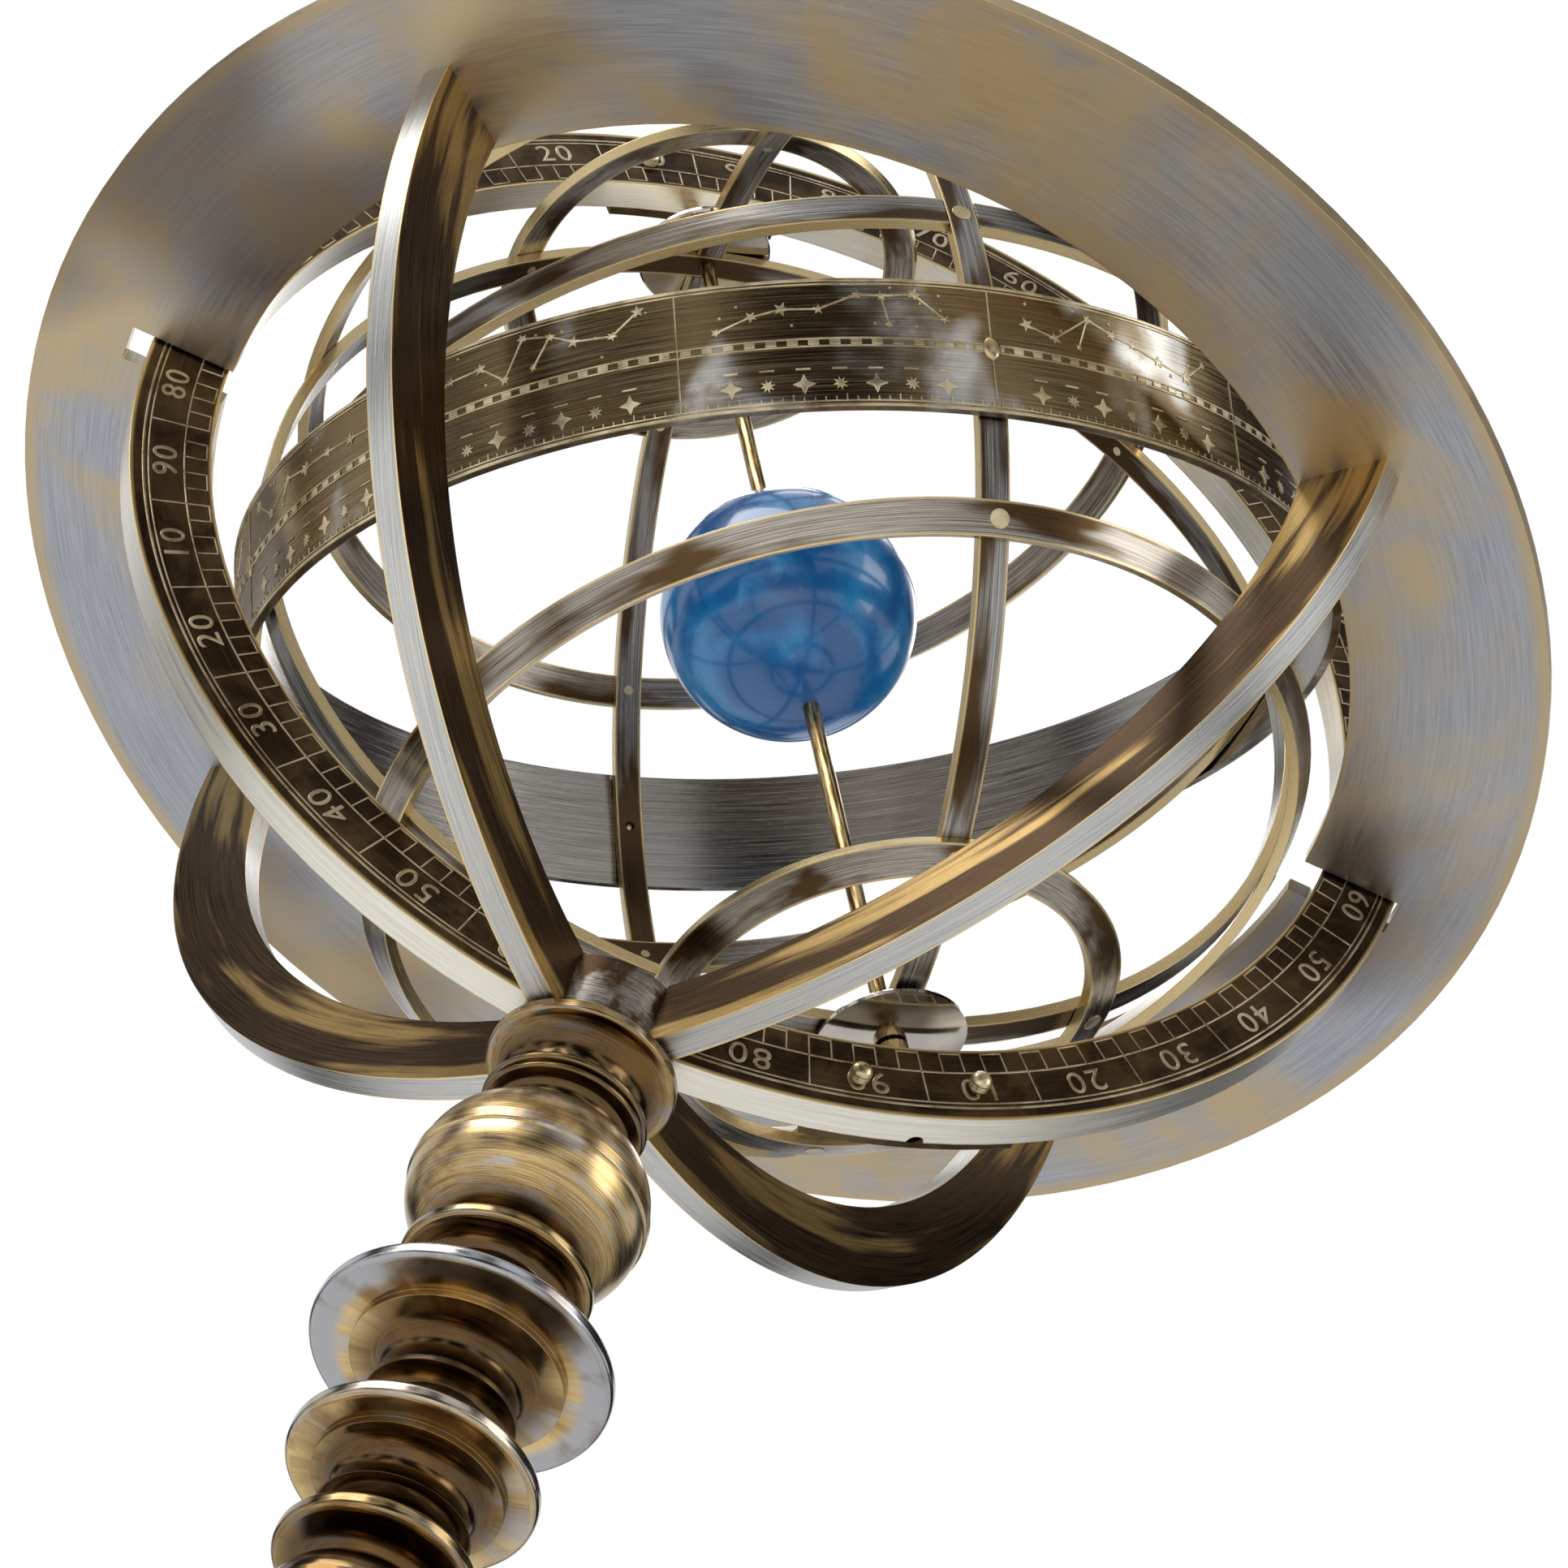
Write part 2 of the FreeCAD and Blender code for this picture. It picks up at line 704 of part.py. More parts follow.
def axis_parts():
    """The rod is clamped at both poles; the ball and two collars sit on it."""
    reach = "(" + MERIDIAN_OUTER + " - sizes.rod_recess)"
    rod = cylinder("axis_rod", "sizes.rod_radius", "2 * " + reach,
                   POLAR + " * " + shift("0", "0", "-" + reach))
    node(rod, "axis_rod")
    bore = total("rod_radius", "press_clearance")
    half = "sqrt(sizes.ball_radius^2 - " + bore + "^2)"
    ball = turned("earth_ball", [
        (bore, "-" + half),
        (bore, half, "-(sizes.ball_radius - " + bore + ")"),
    ], BALL)
    node(ball, "earth_ball")
    for name, half_turn in (("south_collar", "180"), ("north_collar", "0")):
        low = "(" + CAP_OUTER + " + sizes.collar_gap)"
        collar = turned(name, [
            (bore, "0"),
            ("sizes.collar_radius", "0"),
            ("sizes.collar_radius", "sizes.collar_tall"),
            (bore, "sizes.collar_tall"),
        ], CAGE + " * " + turn("0; 1; 0", half_turn) + " * " + shift("0", "0", low))
        node(collar, name)


# ---------------------------------------------------------------- cage

def site(hour, latitude):
    """A frame on the cage whose local Z axis points outwards at an hour angle and a latitude."""
    return CAGE + " * " + turn("0; 0; 1", hour) + " * " + turn("0; 1; 0", "90 - (" + latitude + ")")


def rivet_sites():
    """Crossings with a flush rivet: hour angle, latitude and the radius of the outer face."""
    sites = []
    for hour in ("0", "90", "180", "270"):
        for latitude in ("sizes.tropic_latitude", "sizes.polar_latitude"):
            sites.append((hour, latitude, CIRCLE_OUTER))
            sites.append((hour, "-" + latitude, CIRCLE_OUTER))
    sites.append(("90", "0", "sizes.cage_radius"))
    sites.append(("270", "0", "sizes.cage_radius"))
    return sites


def stud_sites():
    """Crossings of the zodiac band with the colures, held by studs with a domed head."""
    return [
        ("0", "0", ZODIAC_OUTER),
        ("180", "0", ZODIAC_OUTER),
        ("90", "sizes.zodiac_tilt", ZODIAC_OUTER),
        ("270", "-sizes.zodiac_tilt", ZODIAC_OUTER),
    ]


def cage_cutters():
    """Rivet holes and the pivot bore, shared by every strip of the cage."""
    drills = [polar_bore("pivot_bore", "pivot_clearance")]
    start = shift("0", "0", "(sizes.cage_radius - 3 * sizes.strip_thick)")
    for number, (hour, latitude, _) in enumerate(rivet_sites() + stud_sites(), start=1):
        drills.append(cylinder("rivet_drill_%d" % number, "sizes.rivet_radius", "6 * sizes.strip_thick",
                               site(hour, latitude) + " * " + start))
    return compound("cage_cutters", drills)


def rivets(name, sites, head_radius, head_tall):
    """A group of identical rivets, their tails filed flush inside."""
    group = []
    for number, (hour, latitude, outer) in enumerate(sites, start=1):
        tail = "(" + STRIP_INNER + " + 0.05)"
        shank = cylinder("%s_shank_%d" % (name, number), "sizes.rivet_radius", outer + " - " + tail,
                         site(hour, latitude) + " * " + shift("0", "0", tail))
        head = cylinder("%s_head_%d" % (name, number), head_radius, head_tall,
                        site(hour, latitude) + " * " + shift("0", "0", outer))
        rivet = doc.addObject("Part::Fuse", "%s_%d" % (name, number))
        rivet.Base = shank
        rivet.Tool = head
        group.append(rivet)
    return node(compound(name, group), name)


def cage_circle(name, latitude, cutters, tilt=""):
    """A conical strip that follows the sphere at one latitude."""
    half = "sizes.strip_wide / 2"
    sine = "sin(" + latitude + ")"
    cosine = "cos(" + latitude + ")"

    def corner(radius, sign):
        return ("%s * %s - (%s%s) * %s" % (radius, cosine, sign, half, sine),
                "%s * %s + (%s%s) * %s" % (radius, sine, sign, half, cosine))

    corners = [
        corner(CIRCLE_INNER, "-"),
        corner(CIRCLE_OUTER, "-"),
        corner(CIRCLE_OUTER, ""),
        corner(CIRCLE_INNER, ""),
    ]
    blank = turned(name + "_blank", corners, CAGE + tilt)
    return node(cut(name, blank, cutters), name)


def cage_circles(cutters):
    flip = " * " + turn("1; 0; 0", "180")
    cage_circle("north_tropic", "sizes.tropic_latitude", cutters)
    cage_circle("south_tropic", "sizes.tropic_latitude", cutters, tilt=flip)
    cage_circle("arctic_ring", "sizes.polar_latitude", cutters)
    cage_circle("antarctic_ring", "sizes.polar_latitude", cutters, tilt=flip)


def equator_ring(cutters):
    """The equator lies flush with the colures, halved on its outer side where they cross it."""
    half = "(sizes.strip_wide / 2)"
    blank = turned("equator_blank", [
        (STRIP_INNER, "-" + half),
        ("sizes.cage_radius", "-" + half),
        ("sizes.cage_radius", half),
        (STRIP_INNER, half),
    ], CAGE)
    notches = new_sketch(blank, "XY_Plane", "notches")
    low = "(" + LAP_RADIUS + " - sizes.lap_gap / 2)"
    high = "(sizes.cage_radius + 2)"
    across = "(sizes.colure_wide / 2 + 2 * sizes.lap_gap)"
    rectangle(notches, low, high, "-" + across, across)
    rectangle(notches, "-" + high, "-" + low, "-" + across, across)
    rectangle(notches, "-" + across, across, low, high)
    rectangle(notches, "-" + across, across, "-" + high, "-" + low)
    pocket(blank, notches, "3 * sizes.strip_wide", middle=True)
    return node(cut("equator_ring", blank, cutters), "equator_ring")


def colure(name, plane, pole_outside, cutters):
    """A flat ring through both poles, halved inside at the equator and at the poles."""
    body = new_body(name + "_blank", CAGE)
    ring = new_sketch(body, plane, "ring")
    circle(ring, "sizes.cage_radius")
    circle(ring, STRIP_INNER)
    pad(body, ring, "sizes.colure_wide", middle=True)
    laps = new_sketch(body, plane, "laps")
    inside = "(" + STRIP_INNER + " - 2)"
    low = "(" + LAP_RADIUS + " + sizes.lap_gap / 2)"
    across = "(sizes.strip_wide / 2 + 2 * sizes.lap_gap)"
    rectangle(laps, inside, low, "-" + across, across)
    rectangle(laps, "-" + low, "-" + inside, "-" + across, across)
    pocket(body, laps, "3 * sizes.strip_wide", middle=True)
    poles = new_sketch(body, plane, "poles")
    side = "(sizes.colure_wide / 2 + 2 * sizes.lap_gap)"
    if pole_outside:
        near = inside
        far = low
    else:
        near = "(" + LAP_RADIUS + " - sizes.lap_gap / 2)"
        far = "(sizes.cage_radius + 2)"
    rectangle(poles, "-" + side, side, near, far)
    rectangle(poles, "-" + side, side, "-" + far, "-" + near)
    pocket(body, poles, "3 * sizes.strip_wide", middle=True)
    return node(cut(name, body, cutters), name)


def zodiac_band(cutters):
    """The wide band, tilted about the line through the two equinoxes."""
    half = "(sizes.zodiac_wide / 2)"
    blank = turned("zodiac_blank", [
        (CIRCLE_INNER, "-" + half),
        (ZODIAC_OUTER, "-" + half),
        (ZODIAC_OUTER, half),
        (CIRCLE_INNER, half),
    ], CAGE + " * " + turn("1; 0; 0", "sizes.zodiac_tilt"))
    return node(cut("zodiac_band", blank, cutters), "zodiac_band")


def pole_caps():
    """Polished discs on the outside of the colures at both poles."""
    for name, half_turn in (("south_cap", "180"), ("north_cap", "0")):
        bore = total("rod_radius", "pivot_clearance")
        disc = "sizes.cap_radius"
        thick = "sizes.cap_thick"
        cap = turned(name, [
            (bore, "0"),
            (disc + " - 0.4", "0"),
            (disc, "0.5"),
            (disc, thick + " * 0.5"),
            (bore, thick, "-0.3"),
        ], CAGE + " * " + turn("1; 0; 0", half_turn) + " * " + shift("0", "0", CIRCLE_INNER))
        node(cap, name)


def cage():
    cutters = cage_cutters()
    colure("solstice_colure", "YZ_Plane", True, cutters)
    colure("equinox_colure", "XZ_Plane", False, cutters)
    equator_ring(cutters)
    cage_circles(cutters)
    zodiac_band(cutters)
    pole_caps()
    rivets("strip_rivets", rivet_sites(), "sizes.rivet_head_radius", "sizes.rivet_head_tall")
    rivets("zodiac_studs", stud_sites(), "sizes.stud_head_radius", "sizes.stud_head_tall")


# ---------------------------------------------------------------- build, check and export

def check():
    """Stops with a message if any object failed or any sub-part is empty or invalid."""
    doc.recompute()
    for item in doc.Objects:
        if "Invalid" in item.State or "Error" in item.State:
            raise RuntimeError("failed object " + item.Label + " " + str(item.State))
    for item in NODES:
        if item.Shape.isNull() or not item.Shape.isValid():
            raise RuntimeError("bad shape " + item.Label)


def export():
    os.makedirs("parts", exist_ok=True)
    for item in NODES:
        item.Shape.exportStep("parts/" + item.Label + ".step")


base_felt()
base_foot()
foot_collar()
lower_baluster()
middle_baluster()
upper_baluster()
knop()
neck()
bell_cup()
hub()
tie_parts()
arms()
horizon_ring()
meridian_parts()
axis_parts()
cage()
check()
export()
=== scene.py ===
import math
import random

import bpy
from mathutils import Matrix, Vector

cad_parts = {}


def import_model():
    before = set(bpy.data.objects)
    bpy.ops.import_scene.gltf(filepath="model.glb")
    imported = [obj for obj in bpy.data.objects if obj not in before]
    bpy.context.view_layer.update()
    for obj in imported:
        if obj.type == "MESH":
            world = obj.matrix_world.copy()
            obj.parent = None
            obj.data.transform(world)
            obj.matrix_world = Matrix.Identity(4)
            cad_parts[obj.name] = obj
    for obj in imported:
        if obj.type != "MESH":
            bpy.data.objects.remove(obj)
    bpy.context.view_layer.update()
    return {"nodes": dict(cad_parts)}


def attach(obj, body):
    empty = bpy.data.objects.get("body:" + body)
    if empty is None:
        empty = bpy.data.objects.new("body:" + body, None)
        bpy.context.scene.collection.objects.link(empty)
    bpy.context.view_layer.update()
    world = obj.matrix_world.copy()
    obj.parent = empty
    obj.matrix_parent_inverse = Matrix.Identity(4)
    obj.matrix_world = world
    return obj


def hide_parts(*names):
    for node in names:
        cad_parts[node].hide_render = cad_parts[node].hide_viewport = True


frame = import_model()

# Sizes of the part in millimetres, as its CAD model has them.
MM = 0.001
CENTRE = Vector((0, 0, 340.2))
RING_CENTRE = Vector((1.6, 0, 340.2))
ROD_CENTRE = Vector((1.6, 3.5, 340.2))
AXIS_LATITUDE = 64.4
CAGE_SLIDE = 3.0
CAGE_HEADING = 2.5
TROPIC_LATITUDE = 34.9
POLAR_LATITUDE = 67.4
ZODIAC_TILT = 17.8
ZODIAC_OUTER = 106.2
STRIP_HALF = 3.3
COLURE_HALF = 2.8
PLAIN_HALF = 1000
MERIDIAN_HALF = 3.5
SCREW_RING = 123.6
SCREW_ANGLE = 5.3
ARM_HEADINGS = {"front_right": -47.6, "back_right": 42.4, "back_left": 132.4, "front_left": -137.6}

# The camera: where it stands as seen from the sphere's centre, where it looks, and its lens.
CAMERA_AZIMUTH = -2.40
CAMERA_ELEVATION = -50.12
CAMERA_DISTANCE = 845.2
LOOK_AZIMUTH = -6.127
LOOK_ELEVATION = -51.25
CAMERA_ROLL = 19.85
LENS = 99.64
SHIFT = (-0.1270, -0.1337)


# ---------------------------------------------------------------- placements

def turned_about(axis, degrees):
    return Matrix.Rotation(math.radians(degrees), 4, axis)


POLAR = Matrix.Translation(ROD_CENTRE) @ turned_about("Y", AXIS_LATITUDE - 90)
CAGE = POLAR @ Matrix.Translation((0, 0, -CAGE_SLIDE)) @ turned_about("Z", -CAGE_HEADING)
ZODIAC = CAGE @ turned_about("X", ZODIAC_TILT)
MERIDIAN = Matrix.Translation(RING_CENTRE) @ turned_about("X", 90)
SPHERE = Matrix.Translation(CENTRE)


# ---------------------------------------------------------------- mesh helpers

class Shape:
    """Collects vertices and faces in millimetres and turns them into one object."""

    def __init__(self):
        self.points = []
        self.faces = []

    def add(self, points, faces):
        start = len(self.points)
        self.points.extend(points)
        self.faces.extend([tuple(start + index for index in face) for face in faces])

    def bar(self, corners, low, high, place):
        """A flat outline raised from low to high; place maps (x, y, height) to space."""
        count = len(corners)
        bottom = [place(x, y, low) for x, y in corners]
        top = [place(x, y, high) for x, y in corners]
        faces = [tuple(range(count, 2 * count)), tuple(reversed(range(count)))]
        for index in range(count):
            following = (index + 1) % count
            faces.append((index, following, count + following, count + index))
        self.add(bottom + top, faces)

    def lathe(self, profile, matrix, count=48):
        """A closed turned solid from (radius, height) points that start and end on the axis."""
        points = []
        rings = []
        for radius, height in profile:
            if radius < 1e-6:
                rings.append([len(points)])
                points.append(matrix @ Vector((0, 0, height)))
                continue
            ring = []
            for step in range(count):
                angle = 2 * math.pi * step / count
                ring.append(len(points))
                flat = (radius * math.cos(angle), radius * math.sin(angle))
                points.append(matrix @ Vector((*flat, height)))
            rings.append(ring)
        faces = []
        for below, above in zip(rings, rings[1:]):
            for step in range(count):
                following = (step + 1) % count
                if len(below) == 1:
                    faces.append((below[0], above[following], above[step]))
                elif len(above) == 1:
                    faces.append((below[step], below[following], above[0]))
                else:
                    faces.append((below[step], below[following], above[following], above[step]))
        self.add(points, faces)

    def build(self, name, material, body, smooth=False):
        mesh = bpy.data.meshes.new(name)
        mesh.from_pydata([tuple(Vector(point) * MM) for point in self.points], [], self.faces)
        mesh.validate()
        mesh.update()
        mesh.polygons.foreach_set("use_smooth", [smooth] * len(mesh.polygons))
        mesh.materials.append(material)
        item = bpy.data.objects.new(name, mesh)
        bpy.context.scene.collection.objects.link(item)
        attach(item, body)
        return item


def stroke(start, end, width):
    """Corners of a straight bar between two flat points."""
    start = Vector(start)
    end = Vector(end)
    along = (end - start).normalized()
    side = Vector((-along.y, along.x)) * (width / 2)
    return [tuple(start - side), tuple(end - side), tuple(end + side), tuple(start + side)]


# ---------------------------------------------------------------- material graphs

class Graph:
    """A material's node tree, with short calls for the sums that the looks are made of."""

    def __init__(self, name):
        self.material = bpy.data.materials.new(name)
        self.material.use_nodes = True
        self.tree = self.material.node_tree
        self.tree.nodes.clear()
        self.point = self.make("ShaderNodeTexCoord").outputs["Object"]

    def make(self, kind, **settings):
        item = self.tree.nodes.new(kind)
        for key, setting in settings.items():
            setattr(item, key, setting)
        return item

    def feed(self, socket, source):
        if isinstance(source, bpy.types.NodeSocket):
            self.tree.links.new(source, socket)
        else:
            socket.default_value = source

    def sum(self, operation, first, second=0.0, clamp=False):
        item = self.make("ShaderNodeMath", operation=operation, use_clamp=clamp)
        self.feed(item.inputs[0], first)
        self.feed(item.inputs[1], second)
        return item.outputs[0]

    def between(self, source, low, high, out_low=0.0, out_high=1.0):
        """Maps low..high smoothly to out_low..out_high."""
        item = self.make("ShaderNodeMapRange", interpolation_type="SMOOTHSTEP")
        for name, setting in (("Value", source), ("From Min", low), ("From Max", high),
                              ("To Min", out_low), ("To Max", out_high)):
            self.feed(item.inputs[name], setting)
        return item.outputs["Result"]

    def mix(self, factor, first, second, blend="MIX"):
        item = self.make("ShaderNodeMix", data_type="RGBA", blend_type=blend)
        self.feed(item.inputs["Factor"], factor)
        self.feed(item.inputs["A"], first if isinstance(first, bpy.types.NodeSocket) else (*first, 1))
        self.feed(item.inputs["B"], second if isinstance(second, bpy.types.NodeSocket) else (*second, 1))
        return item.outputs["Result"]

    def noise(self, vector, scale, detail=3.0, rough=0.55, distort=0.0):
        item = self.make("ShaderNodeTexNoise")
        self.feed(item.inputs["Vector"], vector)
        item.inputs["Scale"].default_value = scale
        item.inputs["Detail"].default_value = detail
        item.inputs["Roughness"].default_value = rough
        item.inputs["Distortion"].default_value = distort
        return item.outputs["Fac"]

    def vector(self, x, y, z):
        item = self.make("ShaderNodeCombineXYZ")
        for socket, source in zip(item.inputs, (x, y, z)):
            self.feed(socket, source)
        return item.outputs[0]

    def local(self, matrix):
        """The surface point in millimetres in the frame of a placement, as x, y and z."""
        mapping = self.make("ShaderNodeMapping", vector_type="TEXTURE")
        self.feed(mapping.inputs["Vector"], self.point)
        mapping.inputs["Location"].default_value = matrix.translation * MM
        mapping.inputs["Rotation"].default_value = matrix.to_euler("XYZ")
        mapping.inputs["Scale"].default_value = (MM, MM, MM)
        parts = self.make("ShaderNodeSeparateXYZ")
        self.feed(parts.inputs[0], mapping.outputs[0])
        return parts.outputs

    def round_about(self, matrix):
        """Height along the placement's axis, radius from it, and the unit direction round it."""
        x, y, z = self.local(matrix)
        squares = self.sum("ADD", self.sum("MULTIPLY", x, x), self.sum("MULTIPLY", y, y))
        radius = self.sum("SQRT", squares)
        return z, radius, self.sum("DIVIDE", x, radius), self.sum("DIVIDE", y, radius)

    def scratches(self, across, around_x, around_y, fine=3.0, along=3.0):
        """Thin lines that run round an axis; across is the coordinate they are drawn against."""
        item = self.vector(self.sum("MULTIPLY", around_x, along), self.sum("MULTIPLY", around_y, along),
                           self.sum("MULTIPLY", across, fine))
        return self.noise(item, 1.0, detail=5.0, rough=0.7)

    def bump(self, height, strength, distance, edge=0.3):
        """Fine relief over edges that are softened by a small radius in millimetres."""
        item = self.make("ShaderNodeBump")
        soft = self.make("ShaderNodeBevel", samples=4)
        soft.inputs["Radius"].default_value = edge * MM
        self.feed(item.inputs["Normal"], soft.outputs[0])
        item.inputs["Strength"].default_value = strength
        item.inputs["Distance"].default_value = distance * MM
        self.feed(item.inputs["Height"], height)
        return item.outputs[0]

    def surface(self, colour, roughness, metallic=1.0, normal=None, **extras):
        shader = self.make("ShaderNodeBsdfPrincipled")
        self.feed(shader.inputs["Base Color"], colour)
        self.feed(shader.inputs["Roughness"], roughness)
        shader.inputs["Metallic"].default_value = metallic
        for name, setting in extras.items():
            shader.inputs[name.replace("_", " ").title()].default_value = setting
        if normal is not None:
            self.feed(shader.inputs["Normal"], normal)
        output = self.make("ShaderNodeOutputMaterial")
        self.tree.links.new(shader.outputs[0], output.inputs[0])
        return self.material


BLACK_BROWN = (0.035, 0.022, 0.012)


def horizon_brass():
    """Satin grey plate with tan and gold clouds, circular scratches and a golden rim."""
    g = Graph("horizon_brass")
    _, radius, cx, cy = g.round_about(SPHERE)
    clouds = g.noise(g.point, 11.0, detail=3.0, rough=0.5, distort=1.2)
    stains = g.noise(g.point, 34.0, detail=5.0, rough=0.6, distort=0.3)
    lines = g.scratches(radius, cx, cy, fine=2.2, along=9.0)
    gold = g.sum("MULTIPLY", g.between(clouds, 0.44, 0.58), g.between(stains, 0.3, 0.62), clamp=True)
    rim = g.between(radius, 145.5, 149.8)
    inner = g.between(radius, 115.5, 112.6)
    gold = g.sum("MAXIMUM", gold, g.sum("MAXIMUM", rim, inner), clamp=True)
    colour = g.mix(g.between(lines, 0.3, 0.7), (0.29, 0.31, 0.34), (0.42, 0.43, 0.45))
    colour = g.mix(g.sum("MULTIPLY", gold, 0.85), colour, (0.52, 0.39, 0.21))
    shade = g.noise(g.point, 9.0, detail=2.0, rough=0.5, distort=0.5)
    colour = g.mix(g.between(shade, 0.52, 0.68, 0.0, 0.75), colour, (0.085, 0.055, 0.028))
    rough = g.between(lines, 0.25, 0.75, 0.34, 0.46)
    return g.surface(colour, rough, normal=g.bump(lines, 0.06, 0.05))


def strip_brass(name, matrix, half_wide, dark=0.5):
    """Brushed strip: streaks round the ring, dark patches and thin golden edges."""
    g = Graph(name)
    height, radius, cx, cy = g.round_about(matrix)
    across = g.sum("ADD", height, radius)
    lines = g.scratches(across, cx, cy, fine=5.0, along=3.5)
    patches = g.noise(g.vector(g.sum("MULTIPLY", cx, 2.4), g.sum("MULTIPLY", cy, 2.4),
                               g.sum("MULTIPLY", across, 0.12)), 1.0, detail=3.0, rough=0.55)
    colour = g.mix(g.between(lines, 0.32, 0.68), (0.10, 0.088, 0.075), (0.42, 0.40, 0.37))
    colour = g.mix(g.between(patches, dark - 0.08, dark + 0.06), colour, (0.075, 0.045, 0.022))
    edge = g.between(g.sum("ABSOLUTE", height), half_wide - 0.55, half_wide - 0.1)
    colour = g.mix(g.sum("MULTIPLY", edge, 0.8), colour, (0.68, 0.52, 0.26))
    rough = g.between(lines, 0.25, 0.75, 0.20, 0.36)
    return g.surface(colour, rough, normal=g.bump(lines, 0.14, 0.05))


def conical_brass(name, matrix, latitude, half_wide):
    """The strip look for a conical ring that lies at a latitude of the sphere."""
    g = Graph(name)
    height, radius, cx, cy = g.round_about(matrix)
    sine = math.sin(math.radians(latitude))
    cosine = math.cos(math.radians(latitude))
    across = g.sum("SUBTRACT", g.sum("MULTIPLY", height, cosine), g.sum("MULTIPLY", radius, sine))
    out = g.sum("ADD", g.sum("MULTIPLY", height, sine), g.sum("MULTIPLY", radius, cosine))
    lines = g.scratches(g.sum("ADD", across, out), cx, cy, fine=5.0, along=3.5)
    patches = g.noise(g.vector(g.sum("MULTIPLY", cx, 2.0), g.sum("MULTIPLY", cy, 2.0),
                               g.sum("MULTIPLY", across, 0.1)), 1.0, detail=3.0, rough=0.55)
    colour = g.mix(g.between(lines, 0.32, 0.68), (0.13, 0.108, 0.085), (0.47, 0.43, 0.37))
    colour = g.mix(g.between(patches, 0.44, 0.58), colour, (0.085, 0.050, 0.022))
    edge = g.between(g.sum("ABSOLUTE", across), half_wide - 0.6, half_wide - 0.1)
    colour = g.mix(g.sum("MULTIPLY", edge, 0.85), colour, (0.70, 0.54, 0.28))
    rough = g.between(lines, 0.25, 0.75, 0.18, 0.33)
    return g.surface(colour, rough, normal=g.bump(lines, 0.14, 0.05))


def arm_brass(name, heading):
    """Dark brown to gold sides with lengthwise brushing, grey narrow faces and bright worn edges."""
    g = Graph(name)
    x, y, z = g.local(SPHERE @ turned_about("Z", heading))
    radius = g.sum("SQRT", g.sum("ADD", g.sum("MULTIPLY", x, x), g.sum("MULTIPLY", z, z)))
    lines = g.noise(g.vector(g.sum("MULTIPLY", g.sum("DIVIDE", x, radius), 5.0),
                             g.sum("MULTIPLY", g.sum("ADD", radius, y), 4.5),
                             g.sum("MULTIPLY", g.sum("DIVIDE", z, radius), 5.0)), 1.0, detail=5.0, rough=0.7)
    deep = g.noise(g.vector(g.sum("MULTIPLY", g.sum("DIVIDE", x, radius), 2.0),
                            g.sum("MULTIPLY", radius, 0.18),
                            g.sum("MULTIPLY", g.sum("DIVIDE", z, radius), 2.0)), 1.0, detail=3.0)
    side = g.between(g.sum("ABSOLUTE", y), 2.45, 2.64)
    dark = g.mix(g.between(lines, 0.3, 0.7), BLACK_BROWN, (0.11, 0.06, 0.024))
    dark = g.mix(g.between(deep, 0.50, 0.62), dark, (0.48, 0.32, 0.12))
    pale = g.mix(g.between(lines, 0.3, 0.7), (0.36, 0.36, 0.35), (0.66, 0.64, 0.60))
    colour = g.mix(side, pale, dark)
    edge = g.sum("MULTIPLY", g.between(g.sum("ABSOLUTE", y), 2.2, 2.5),
                 g.between(g.sum("ABSOLUTE", y), 2.648, 2.60))
    colour = g.mix(edge, colour, (0.80, 0.62, 0.32))
    rough = g.between(lines, 0.25, 0.75, 0.22, 0.38)
    return g.surface(colour, rough, normal=g.bump(lines, 0.16, 0.05))


def stem_brass(name, shine, painted_disc_shading=False):
    """Polished turned brass: fine turning lines, golden highs and darker brown where the radius is small."""
    g = Graph(name)
    height, radius, cx, cy = g.round_about(Matrix.Identity(4))
    lines = g.scratches(height, cx, cy, fine=6.0, along=1.6)
    broad = g.scratches(height, cx, cy, fine=0.7, along=1.3)
    blots = g.noise(g.point, 60.0, detail=4.0, rough=0.6, distort=0.4)
    colour = g.mix(g.between(lines, 0.35, 0.65), (0.30, 0.19, 0.075), (0.70, 0.51, 0.24))
    colour = g.mix(g.between(broad, 0.50, 0.64, 0.0, 0.8), colour, (0.46, 0.45, 0.43))
    # darker brown where the radius is small, growing from 20 mm inwards to 12 mm
    colour = g.mix(g.between(radius, 20.0, 12.0, 0.0, 0.9), colour, (0.065, 0.034, 0.014))
    # painted shading on the discs: a grey band outwards of 19 to 21.5 mm and a golden rim outwards of 25.6
    # to 26.8 mm
    if painted_disc_shading:
        colour = g.mix(g.between(radius, 19.0, 21.5), colour, (0.40, 0.40, 0.41))
        colour = g.mix(g.between(radius, 25.6, 26.8), colour, (0.70, 0.52, 0.25))
    colour = g.mix(g.sum("MULTIPLY", g.between(blots, 0.50, 0.64), 0.6), colour, (0.17, 0.09, 0.03))
    rough = g.between(lines, 0.25, 0.75, shine, shine + 0.12)
    return g.surface(colour, rough, normal=g.bump(lines, 0.10, 0.05))


